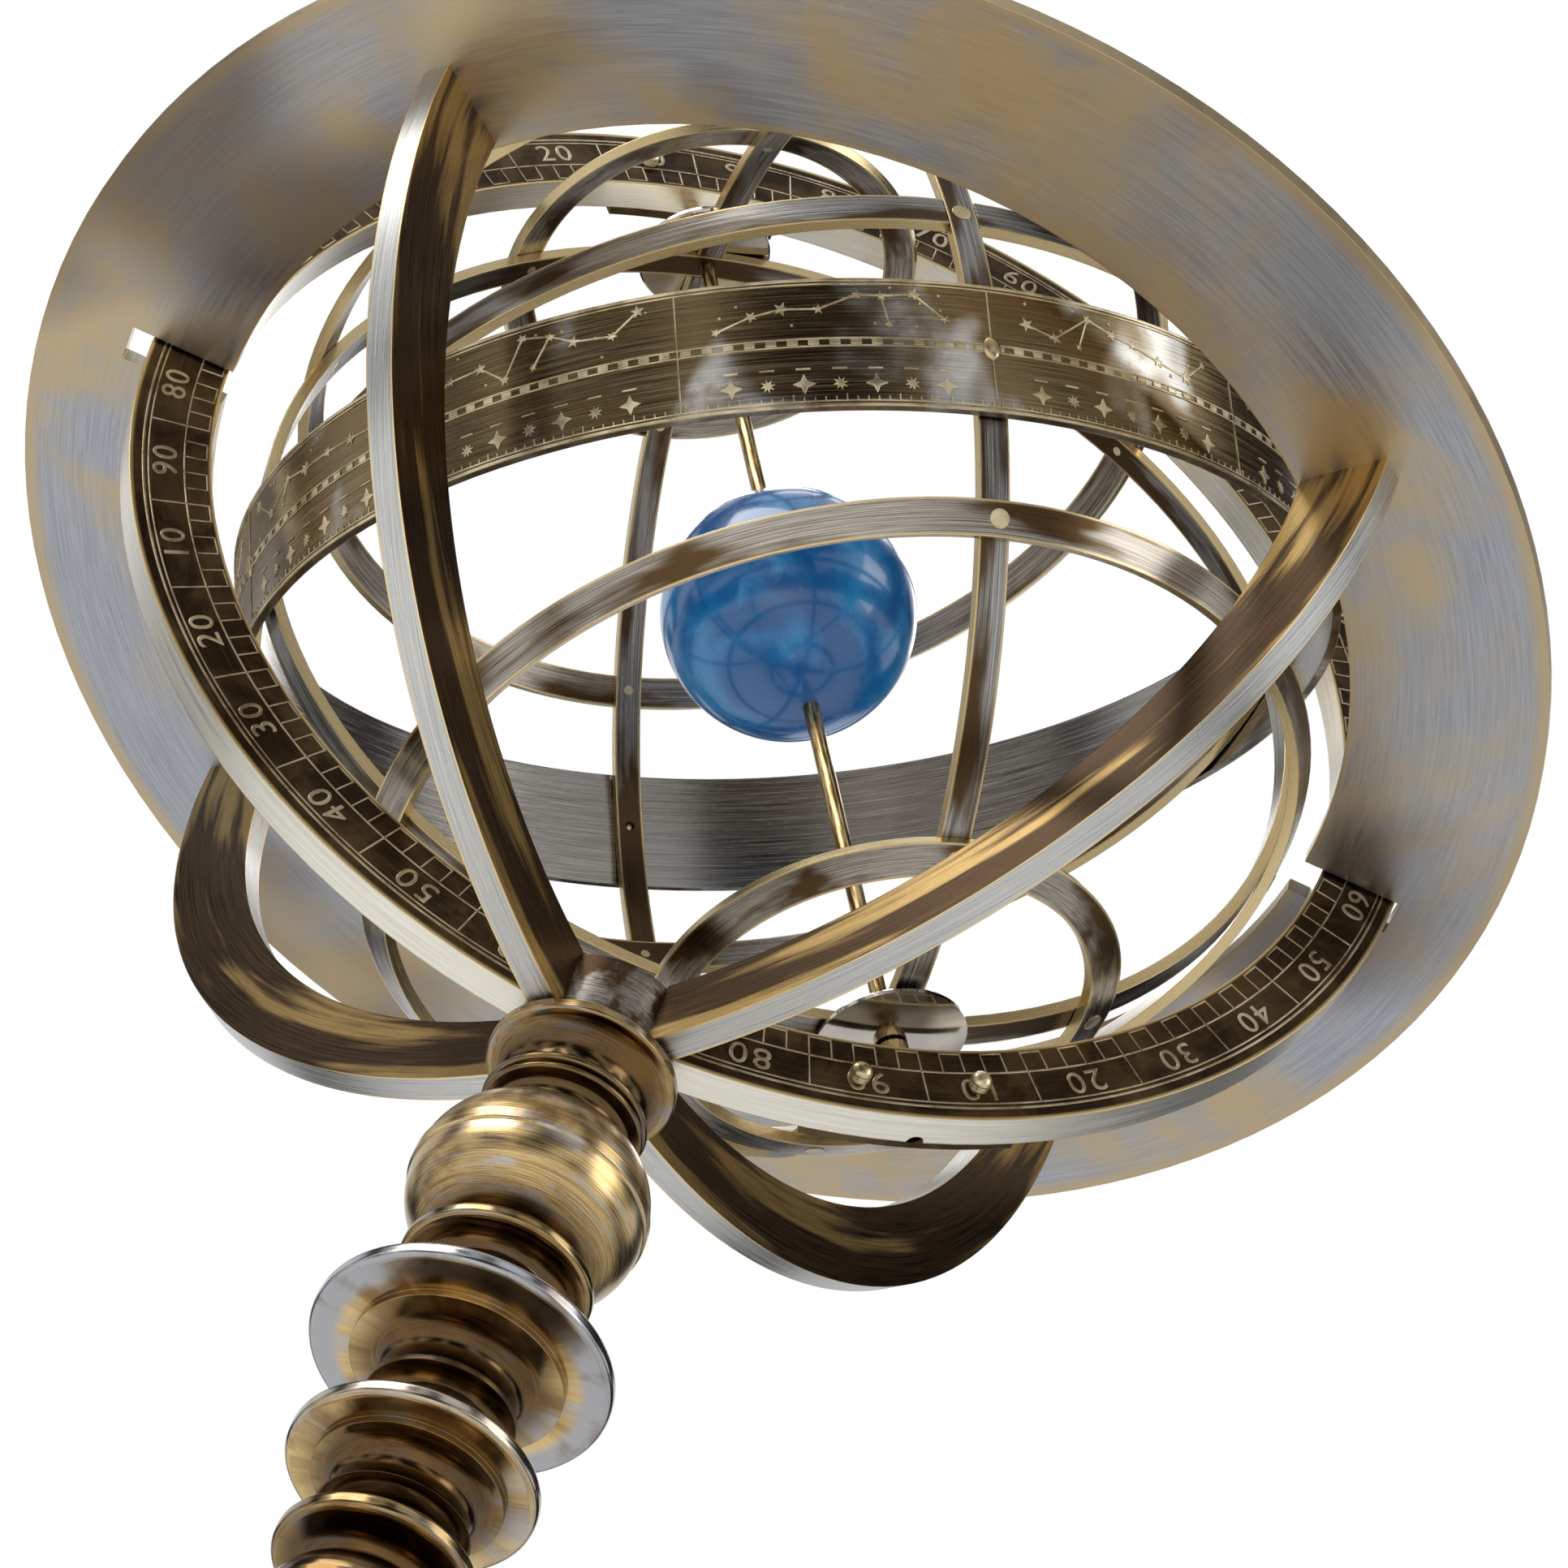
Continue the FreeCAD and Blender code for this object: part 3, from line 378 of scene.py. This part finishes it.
def meridian_brass():
    """Dark etched face, pale narrow rims."""
    g = Graph("meridian_brass")
    height, radius, cx, cy = g.round_about(MERIDIAN)
    lines = g.scratches(g.sum("ADD", radius, height), cx, cy, fine=4.0, along=5.0)
    blots = g.noise(g.point, 70.0, detail=4.0, rough=0.6, distort=0.4)
    face = g.between(g.sum("ABSOLUTE", height), 3.3, 3.47)
    ground = g.mix(g.between(blots, 0.4, 0.65), (0.030, 0.018, 0.009), (0.105, 0.066, 0.030))
    ground = g.mix(g.between(lines, 0.5, 0.8, 0.0, 0.4), ground, (0.26, 0.19, 0.10))
    rim = g.mix(g.between(lines, 0.3, 0.7), (0.66, 0.62, 0.52), (0.88, 0.85, 0.76))
    colour = g.mix(face, rim, ground)
    worn = g.sum("MAXIMUM", g.between(radius, 130.3, 131.1), g.between(radius, 116.6, 116.0), clamp=True)
    worn = g.sum("MULTIPLY", worn, face)
    colour = g.mix(worn, colour, (0.72, 0.55, 0.27))
    rough = g.between(lines, 0.25, 0.75, 0.26, 0.40)
    return g.surface(colour, rough, normal=g.bump(blots, 0.18, 0.06))


def relief_brass(name, low, high):
    """Raised lines and figures, rubbed bright."""
    g = Graph(name)
    blots = g.noise(g.point, 140.0, detail=4.0, rough=0.6)
    colour = g.mix(g.between(blots, 0.35, 0.65), low, high)
    rough = g.between(blots, 0.3, 0.7, 0.24, 0.38)
    return g.surface(colour, rough, normal=g.bump(blots, 0.1, 0.03))


def zodiac_brass():
    """Band ground that changes from bright silver to dark brown round the ring, brushed lengthwise."""
    g = Graph("zodiac_brass")
    height, radius, cx, cy = g.round_about(ZODIAC)
    lines = g.scratches(height, cx, cy, fine=3.5, along=5.0)
    swathes = g.noise(g.vector(g.sum("MULTIPLY", cx, 5.5), g.sum("MULTIPLY", cy, 5.5),
                               g.sum("MULTIPLY", height, 0.035)), 1.0, detail=2.0, rough=0.5)
    spots = g.noise(g.point, 90.0, detail=4.0, rough=0.6)
    dark = g.mix(g.between(lines, 0.3, 0.7), (0.10, 0.066, 0.030), (0.30, 0.22, 0.12))
    bright = g.mix(g.between(lines, 0.3, 0.7), (0.50, 0.47, 0.42), (0.78, 0.76, 0.72))
    colour = g.mix(g.between(swathes, 0.52, 0.64), dark, bright)
    colour = g.mix(g.sum("MULTIPLY", g.between(spots, 0.46, 0.62), 0.6), colour, (0.20, 0.13, 0.06))
    inside = g.between(radius, 104.9, 104.65)
    colour = g.mix(inside, colour, g.mix(g.between(lines, 0.3, 0.7), (0.16, 0.14, 0.12), (0.42, 0.40, 0.37)))
    rough = g.between(lines, 0.25, 0.75, 0.16, 0.32)
    return g.surface(colour, rough, normal=g.bump(lines, 0.12, 0.05))


def cap_brass():
    g = Graph("cap_brass")
    smudge = g.noise(g.point, 90.0, detail=3.0, rough=0.5)
    colour = g.mix(g.between(smudge, 0.35, 0.65), (0.46, 0.43, 0.39), (0.60, 0.56, 0.49))
    rough = g.between(smudge, 0.3, 0.7, 0.07, 0.14)
    return g.surface(colour, rough)


def rod_brass():
    g = Graph("rod_brass")
    height, radius, cx, cy = g.round_about(POLAR)
    streaks = g.noise(g.vector(g.sum("MULTIPLY", cx, 2.5), g.sum("MULTIPLY", cy, 2.5),
                               g.sum("MULTIPLY", height, 0.15)), 1.0, detail=4.0)
    colour = g.mix(g.between(streaks, 0.4, 0.62), (0.24, 0.15, 0.06), (0.74, 0.56, 0.28))
    rough = g.between(streaks, 0.3, 0.7, 0.2, 0.34)
    return g.surface(colour, rough)


def ball_blue():
    """Deep blue enamel with soft paler clouds."""
    g = Graph("ball_blue")
    clouds = g.noise(g.point, 42.0, detail=4.0, rough=0.62, distort=0.6)
    wisps = g.noise(g.point, 120.0, detail=5.0, rough=0.65, distort=0.8)
    colour = g.mix(g.between(clouds, 0.38, 0.68), (0.002, 0.080, 0.26), (0.008, 0.210, 0.48))
    colour = g.mix(g.between(wisps, 0.55, 0.8, 0.0, 0.45), colour, (0.10, 0.36, 0.70))
    rough = g.between(wisps, 0.3, 0.7, 0.20, 0.30)
    return g.surface(colour, rough, metallic=0.0, normal=g.bump(wisps, 0.05, 0.1), coat_weight=0.6,
                     coat_roughness=0.08)


def steel():
    g = Graph("steel")
    grain = g.noise(g.point, 300.0, detail=3.0)
    colour = g.mix(grain, (0.40, 0.40, 0.41), (0.62, 0.62, 0.62))
    return g.surface(colour, g.between(grain, 0.3, 0.7, 0.28, 0.42))


def felt():
    g = Graph("felt")
    fibres = g.noise(g.point, 900.0, detail=5.0, rough=0.7)
    clumps = g.noise(g.point, 120.0, detail=3.0)
    colour = g.mix(fibres, (0.016, 0.040, 0.026), (0.05, 0.11, 0.07))
    colour = g.mix(g.between(clumps, 0.4, 0.7, 0.0, 0.4), colour, (0.02, 0.05, 0.03))
    return g.surface(colour, g.between(fibres, 0.3, 0.7, 0.86, 0.98), metallic=0.0,
                     normal=g.bump(fibres, 0.5, 0.3))


def paint(name, material):
    """Gives a CAD node one material."""
    item = frame["nodes"][name]
    item.data.materials.clear()
    item.data.materials.append(material)


def paint_nodes():
    paint("horizon_ring", horizon_brass())
    for name, heading in ARM_HEADINGS.items():
        paint("arm_" + name, arm_brass("arm_brass_" + name, heading))
    polished = stem_brass("stem_brass", 0.12)
    scratched = stem_brass("knop_brass", 0.2)
    for name in ("base_foot", "foot_collar", "neck", "bell_cup"):
        paint(name, polished)
    # the balusters' discs get painted shading, grey and gold by radius
    waisted = stem_brass("baluster_brass", 0.12, painted_disc_shading=True)
    for name in ("lower_baluster", "middle_baluster", "upper_baluster"):
        paint(name, waisted)
    paint("knop", scratched)
    paint("hub", strip_brass("hub_brass", Matrix.Identity(4), PLAIN_HALF))
    face = meridian_brass()
    for name in ("meridian_ring", "south_pole_plate", "north_pole_plate"):
        paint(name, face)
    rod = rod_brass()
    for name in ("axis_rod", "south_collar", "north_collar"):
        paint(name, rod)
    paint("earth_ball", ball_blue())
    paint("solstice_colure", strip_brass("solstice_brass", CAGE @ turned_about("Y", 90), COLURE_HALF))
    paint("equinox_colure", strip_brass("equinox_brass", CAGE @ turned_about("X", 90), COLURE_HALF, 0.47))
    paint("equator_ring", strip_brass("equator_brass", CAGE, STRIP_HALF))
    paint("north_tropic", conical_brass("north_tropic_brass", CAGE, TROPIC_LATITUDE, STRIP_HALF))
    paint("south_tropic", conical_brass("south_tropic_brass", CAGE, -TROPIC_LATITUDE, STRIP_HALF))
    paint("arctic_ring", conical_brass("arctic_brass", CAGE, POLAR_LATITUDE, STRIP_HALF))
    paint("antarctic_ring", conical_brass("antarctic_brass", CAGE, -POLAR_LATITUDE, STRIP_HALF))
    paint("zodiac_band", zodiac_brass())
    mirror = cap_brass()
    paint("south_cap", mirror)
    paint("north_cap", mirror)
    bright = relief_brass("rivet_brass", (0.42, 0.33, 0.18), (0.74, 0.62, 0.40))
    paint("strip_rivets", bright)
    plain = steel()
    for name in ("tie_rod", "tie_washer", "tie_nut"):
        paint(name, plain)
    paint("base_felt", felt())
    return bright


# ---------------------------------------------------------------- meridian scale

RELIEF_FOOT = -0.05
SCALE_RISE = 0.14
SCALE_ZERO = -154
NUMBER_LOW = 121.0
NUMBER_HIGH = 127.7
TICK_LOW = 116.6
LINE_WIDE = 0.32


def on_meridian(angle, radius, height):
    """A point that stands height out of the meridian ring's front face."""
    turn = math.radians(angle)
    depth = -MERIDIAN_HALF - height
    return RING_CENTRE + Vector((radius * math.cos(turn), depth, radius * math.sin(turn)))


def meridian_circle(shape, radius, width, steps=360):
    for step in range(steps):
        a = 360 * step / steps
        b = 360 * (step + 1) / steps
        low = radius - width / 2
        high = radius + width / 2
        corners = [(a, low), (a, high), (b, high), (b, low)]
        shape.bar(corners, RELIEF_FOOT, SCALE_RISE, on_meridian)


def degrees_for(length, radius):
    return math.degrees(length / radius)


def radial_line(shape, angle, low, high, width=LINE_WIDE):
    half = degrees_for(width, (low + high) / 2) / 2
    corners = [(angle - half, low), (angle - half, high), (angle + half, high), (angle + half, low)]
    shape.bar(corners, RELIEF_FOOT, SCALE_RISE, on_meridian)


def tangent_line(shape, start, end, radius, width=LINE_WIDE):
    low = radius - width / 2
    high = radius + width / 2
    corners = [(start, low), (start, high), (end, high), (end, low)]
    shape.bar(corners, RELIEF_FOOT, SCALE_RISE, on_meridian)


def scale_lines(material):
    shape = Shape()
    for radius, width in ((NUMBER_HIGH, 0.3), (NUMBER_HIGH + 1.0, 0.45), (NUMBER_LOW, LINE_WIDE)):
        meridian_circle(shape, radius, width)
    for cell in range(36):
        radial_line(shape, SCALE_ZERO + 10 * cell, NUMBER_LOW, NUMBER_HIGH)
    for box in range(90):
        start = SCALE_ZERO + 4 * box
        radial_line(shape, start, TICK_LOW, NUMBER_LOW, 0.28)
        radial_line(shape, start + 2, TICK_LOW, NUMBER_LOW, 0.28)
        tangent_line(shape, start, start + 2, TICK_LOW + 0.2, 0.28)
    return shape.build("meridian_scale_lines", material, "meridian")


def number_mesh(text, size):
    """A flat, slightly thick mesh of a number, centred, in millimetres."""
    curve = bpy.data.curves.new("number_" + text, "FONT")
    curve.body = text
    curve.size = size
    curve.align_x = "CENTER"
    curve.align_y = "CENTER"
    curve.extrude = SCALE_RISE
    curve.space_character = 1.15
    curve.resolution_u = 4
    item = bpy.data.objects.new("number_" + text, curve)
    bpy.context.scene.collection.objects.link(item)
    bpy.context.view_layer.update()
    mesh = bpy.data.meshes.new_from_object(item)
    bpy.data.objects.remove(item)
    points = [vertex.co.copy() for vertex in mesh.vertices]
    faces = [tuple(polygon.vertices) for polygon in mesh.polygons]
    bpy.data.meshes.remove(mesh)
    return points, faces


def scale_numbers(material):
    """10 to 90 in each quadrant, read clockwise from the front with the tops outwards."""
    shape = Shape()
    middle = (NUMBER_LOW + NUMBER_HIGH) / 2
    shapes = {}
    for cell in range(36):
        text = str(10 * (cell % 9 + 1))
        if text not in shapes:
            shapes[text] = number_mesh(text, 6.6)
        points, faces = shapes[text]
        angle = SCALE_ZERO + 10 * cell + 5
        placed = []
        for point in points:
            around = angle - degrees_for(point.x * 1.15, middle)
            placed.append(on_meridian(around, middle + point.y, point.z))
        shape.add(placed, faces)
    return shape.build("meridian_scale_numbers", material, "meridian")


# ---------------------------------------------------------------- zodiac ornament

BAND_RISE = 0.16
PANEL_ANGLE = 30
PANELS = 360 // PANEL_ANGLE


def on_zodiac(angle, height, rise):
    """A point on the band's outer face: angle round it in degrees and height from its middle line."""
    turn = math.radians(angle)
    radius = ZODIAC_OUTER + rise
    return ZODIAC @ Vector((radius * math.cos(turn), radius * math.sin(turn), height))


def band_bar(shape, corners):
    """A raised flat shape given in (millimetres round the band, height)."""
    shape.bar([(degrees_for(x, ZODIAC_OUTER), y) for x, y in corners], RELIEF_FOOT, BAND_RISE, on_zodiac)


def band_circle(shape, height, width, steps=240):
    for step in range(steps):
        a = 360 * step / steps
        b = 360 * (step + 1) / steps
        low = height - width / 2
        high = height + width / 2
        shape.bar([(a, low), (b, low), (b, high), (a, high)], RELIEF_FOOT, BAND_RISE, on_zodiac)


def star(shape, x, y, size, points=5, lean=0.0):
    corners = []
    for step in range(2 * points):
        radius = size if step % 2 == 0 else size * 0.42
        angle = lean + math.pi * step / points
        corners.append((x + radius * math.cos(angle), y + radius * math.sin(angle)))
    band_bar(shape, corners)


def constellation(shape, left, random_source):
    """An invented group of stars joined by thin lines in the upper half of a panel."""
    width = math.radians(PANEL_ANGLE) * ZODIAC_OUTER
    count = random_source.randint(7, 9)
    stars = []
    for step in range(count):
        x = left + width * (0.13 + 0.74 * step / (count - 1)) + random_source.uniform(-1.2, 1.2)
        y = random_source.uniform(2.6, 10.2)
        stars.append((x, y))
    for first, second in zip(stars, stars[1:]):
        band_bar(shape, stroke(first, second, 0.34))
    for _ in range(2):
        x, y = random_source.choice(stars[1:-1])
        far = (x + random_source.uniform(-3.5, 3.5), 12.8 - y)
        if abs(far[1] - y) > 1.5:
            band_bar(shape, stroke((x, y), far, 0.3))
            star(shape, far[0], far[1], 0.75, 5, random_source.uniform(0, 1))
    for x, y in stars:
        star(shape, x, y, random_source.uniform(0.85, 1.5), 5, random_source.uniform(0, 1.2))
    for _ in range(9):
        x = left + width * random_source.uniform(0.08, 0.92)
        y = random_source.uniform(1.8, 11.0)
        star(shape, x, y, 0.38, 4, random_source.uniform(0, 1))


def lower_ornament(shape, left):
    """A row of lozenges, discs and small strokes in the lower half of a panel."""
    width = math.radians(PANEL_ANGLE) * ZODIAC_OUTER
    count = 7
    for step in range(count):
        x = left + width * (0.16 + 0.68 * step / (count - 1))
        y = -8.2
        if step % 2 == 0:
            star(shape, x, y, 2.0, 4, 0.0)
        else:
            star(shape, x, y, 1.35, 8, 0.2)
        band_bar(shape, stroke((x - 1.3, y + 3.0), (x + 1.3, y + 3.0), 0.28))
    for step in range(30):
        x = left + width * (step + 0.5) / 30
        tall = 1.2 if step % 5 == 0 else 0.7
        band_bar(shape, stroke((x, -11.5), (x, -11.5 + tall), 0.24))


def zodiac_relief(material):
    shape = Shape()
    random_source = random.Random(12)
    for height, width in ((12.45, 0.55), (11.65, 0.25), (-12.45, 0.55), (-11.65, 0.25)):
        band_circle(shape, height, width)
    for height in (0.75, -0.75):
        band_circle(shape, height, 0.26)
    width = math.radians(PANEL_ANGLE) * ZODIAC_OUTER
    for link in range(180):
        x = link * width * PANELS / 180
        band_bar(shape, [(x + 0.5, -0.5), (x + 2.4, -0.5), (x + 2.4, 0.5), (x + 0.5, 0.5)])
    for panel in range(PANELS):
        left = panel * width
        band_bar(shape, stroke((left, -11.6), (left, 11.6), 0.3))
        constellation(shape, left, random_source)
        lower_ornament(shape, left)
    return shape.build("zodiac_relief", material, "cage")


# ---------------------------------------------------------------- screws, studs and welds

def screw_matrix(pole_angle, side):
    """The frame of a pole screw; its Z axis points to the back of the meridian ring."""
    flip = turned_about("Y", pole_angle + side * SCREW_ANGLE)
    return POLAR @ flip @ Matrix.Translation((0, 0, SCREW_RING)) @ turned_about("X", -90)


def screw_profile():
    """Domed and slot-free heads at the back, three open threads on the end that stands out in front."""
    profile = [(0, -9.6), (0.9, -9.5), (1.55, -9.2), (1.9, -8.75)]
    for thread in range(3):
        base = -8.6 + 0.62 * thread
        profile += [(1.96, base + 0.08), (1.96, base + 0.2), (1.6, base + 0.36), (1.6, base + 0.46)]
    profile += [(1.96, -6.8), (1.96, 3.0), (3.5, 3.05), (3.56, 3.5)]
    for step in range(1, 7):
        angle = math.radians(15 * step)
        profile.append((3.56 * math.cos(angle), 3.5 + 1.86 * math.sin(angle)))
    profile[-1] = (0, 5.36)
    return profile


def pole_screws(material):
    for pole, pole_angle in (("south", 180), ("north", 0)):
        shape = Shape()
        for side in (1, -1):
            shape.lathe(screw_profile(), screw_matrix(pole_angle, side), 40)
        item = shape.build("pole_screws_%s_threaded" % pole, material, "meridian", True)
        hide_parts("pole_screws_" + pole)


def studs(material):
    """Oval domed heads of the four studs that hold the zodiac band."""
    shape = Shape()
    for angle in (0, 90, 180, 270):
        turn = turned_about("Z", angle)
        out = ZODIAC @ turn @ Matrix.Translation((ZODIAC_OUTER, 0, 0)) @ turned_about("Y", 90)
        stretch = Matrix.Diagonal((1.0, 0.72, 1.0, 1.0))
        profile = [(0, -3.5), (0.98, -3.5), (0.98, -0.05), (2.35, -0.05)]
        for step in range(0, 6):
            lift = math.radians(18 * step)
            profile.append((2.35 * math.cos(lift), 0.1 + 0.68 * math.sin(lift)))
        profile[-1] = (0, 0.78)
        shape.lathe(profile, out @ stretch, 36)
    item = shape.build("zodiac_stud_heads", material, "cage", True)
    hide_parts("zodiac_studs")


# ---------------------------------------------------------------- light and camera

def direction(azimuth, elevation):
    """The unit vector from what is looked at towards a viewer at that azimuth and elevation."""
    a = math.radians(azimuth)
    e = math.radians(elevation)
    return Vector((math.sin(a) * math.cos(e), -math.cos(a) * math.cos(e), math.sin(e)))


def camera():
    data = bpy.data.cameras.new("camera")
    data.lens = LENS
    data.sensor_width = 36
    data.shift_x, data.shift_y = SHIFT
    data.clip_start = 0.01
    item = bpy.data.objects.new("camera", data)
    bpy.context.scene.collection.objects.link(item)
    back = direction(LOOK_AZIMUTH, LOOK_ELEVATION)
    level = Vector((math.cos(math.radians(LOOK_AZIMUTH)), math.sin(math.radians(LOOK_AZIMUTH)), 0))
    upward = back.cross(level)
    roll = math.radians(CAMERA_ROLL)
    right = level * math.cos(roll) + upward * math.sin(roll)
    up = back.cross(right)
    turn = Matrix((right, up, back)).transposed().to_4x4()
    at = (CENTRE + direction(CAMERA_AZIMUTH, CAMERA_ELEVATION) * CAMERA_DISTANCE) * MM
    item.matrix_world = Matrix.Translation(at) @ turn
    bpy.context.scene.camera = item


def area_light(name, azimuth, elevation, distance, size, power):
    data = bpy.data.lights.new(name, "AREA")
    data.shape = "RECTANGLE"
    data.size, data.size_y = size
    data.energy = power
    item = bpy.data.objects.new(name, data)
    bpy.context.scene.collection.objects.link(item)
    back = direction(azimuth, elevation)
    item.location = CENTRE * MM + back * distance
    item.rotation_mode = "QUATERNION"
    item.rotation_quaternion = back.to_track_quat("Z", "Y")


def world():
    """White paper all round for the camera; a studio with bright and dark sides for the light."""
    item = bpy.data.worlds.new("studio")
    item.use_nodes = True
    tree = item.node_tree
    tree.nodes.clear()
    output = tree.nodes.new("ShaderNodeOutputWorld")
    choose = tree.nodes.new("ShaderNodeMixShader")
    path = tree.nodes.new("ShaderNodeLightPath")
    paper = tree.nodes.new("ShaderNodeBackground")
    paper.inputs[0].default_value = (1, 1, 1, 1)
    studio = tree.nodes.new("ShaderNodeBackground")
    coord = tree.nodes.new("ShaderNodeTexCoord")
    noise = tree.nodes.new("ShaderNodeTexNoise")
    noise.inputs["Scale"].default_value = 2.1
    noise.inputs["Detail"].default_value = 1.0
    ramp = tree.nodes.new("ShaderNodeValToRGB")
    ramp.color_ramp.elements[0].position = 0.48
    ramp.color_ramp.elements[0].color = (0.012, 0.011, 0.010, 1)
    ramp.color_ramp.elements[1].position = 0.56
    ramp.color_ramp.elements[1].color = (0.95, 0.97, 1.0, 1)
    link = tree.links.new
    link(coord.outputs["Generated"], noise.inputs["Vector"])
    link(noise.outputs["Fac"], ramp.inputs[0])
    link(ramp.outputs[0], studio.inputs[0])
    link(path.outputs["Is Camera Ray"], choose.inputs[0])
    link(studio.outputs[0], choose.inputs[1])
    link(paper.outputs[0], choose.inputs[2])
    link(choose.outputs[0], output.inputs[0])
    bpy.context.scene.world = item


def floor():
    """A pale floor that is solid from above and clear from below, where the photographer stands."""
    mesh = bpy.data.meshes.new("floor")
    half = 3.0
    corners = [(-half, -half, 0), (half, -half, 0), (half, half, 0), (-half, half, 0)]
    mesh.from_pydata(corners, [], [(0, 1, 2, 3)])
    material = bpy.data.materials.new("floor")
    material.use_nodes = True
    tree = material.node_tree
    tree.nodes.clear()
    output = tree.nodes.new("ShaderNodeOutputMaterial")
    choose = tree.nodes.new("ShaderNodeMixShader")
    side = tree.nodes.new("ShaderNodeNewGeometry")
    pale = tree.nodes.new("ShaderNodeBsdfDiffuse")
    pale.inputs[0].default_value = (0.85, 0.85, 0.85, 1)
    clear = tree.nodes.new("ShaderNodeBsdfTransparent")
    link = tree.links.new
    link(side.outputs["Backfacing"], choose.inputs[0])
    link(pale.outputs[0], choose.inputs[1])
    link(clear.outputs[0], choose.inputs[2])
    link(choose.outputs[0], output.inputs[0])
    mesh.materials.append(material)
    item = bpy.data.objects.new("floor", mesh)
    bpy.context.scene.collection.objects.link(item)
    item.visible_shadow = False


def lights():
    area_light("key", -60, 35, 1.6, (1.0, 1.0), 16)
    area_light("fill", 50, 20, 1.8, (0.7, 1.4), 8)
    area_light("under", -20, -35, 1.8, (1.2, 0.6), 9)
    area_light("top", 170, 70, 1.6, (1.2, 1.2), 12)
    bpy.context.scene.view_settings.view_transform = "Standard"


bright = paint_nodes()
scale_material = relief_brass("scale_brass", (0.33, 0.25, 0.15), (0.62, 0.52, 0.36))
scale_lines(scale_material)
scale_numbers(scale_material)
zodiac_relief(relief_brass("zodiac_relief_brass", (0.46, 0.38, 0.22), (0.78, 0.68, 0.46)))
pole_screws(bright)
studs(bright)
camera()
world()
floor()
lights()
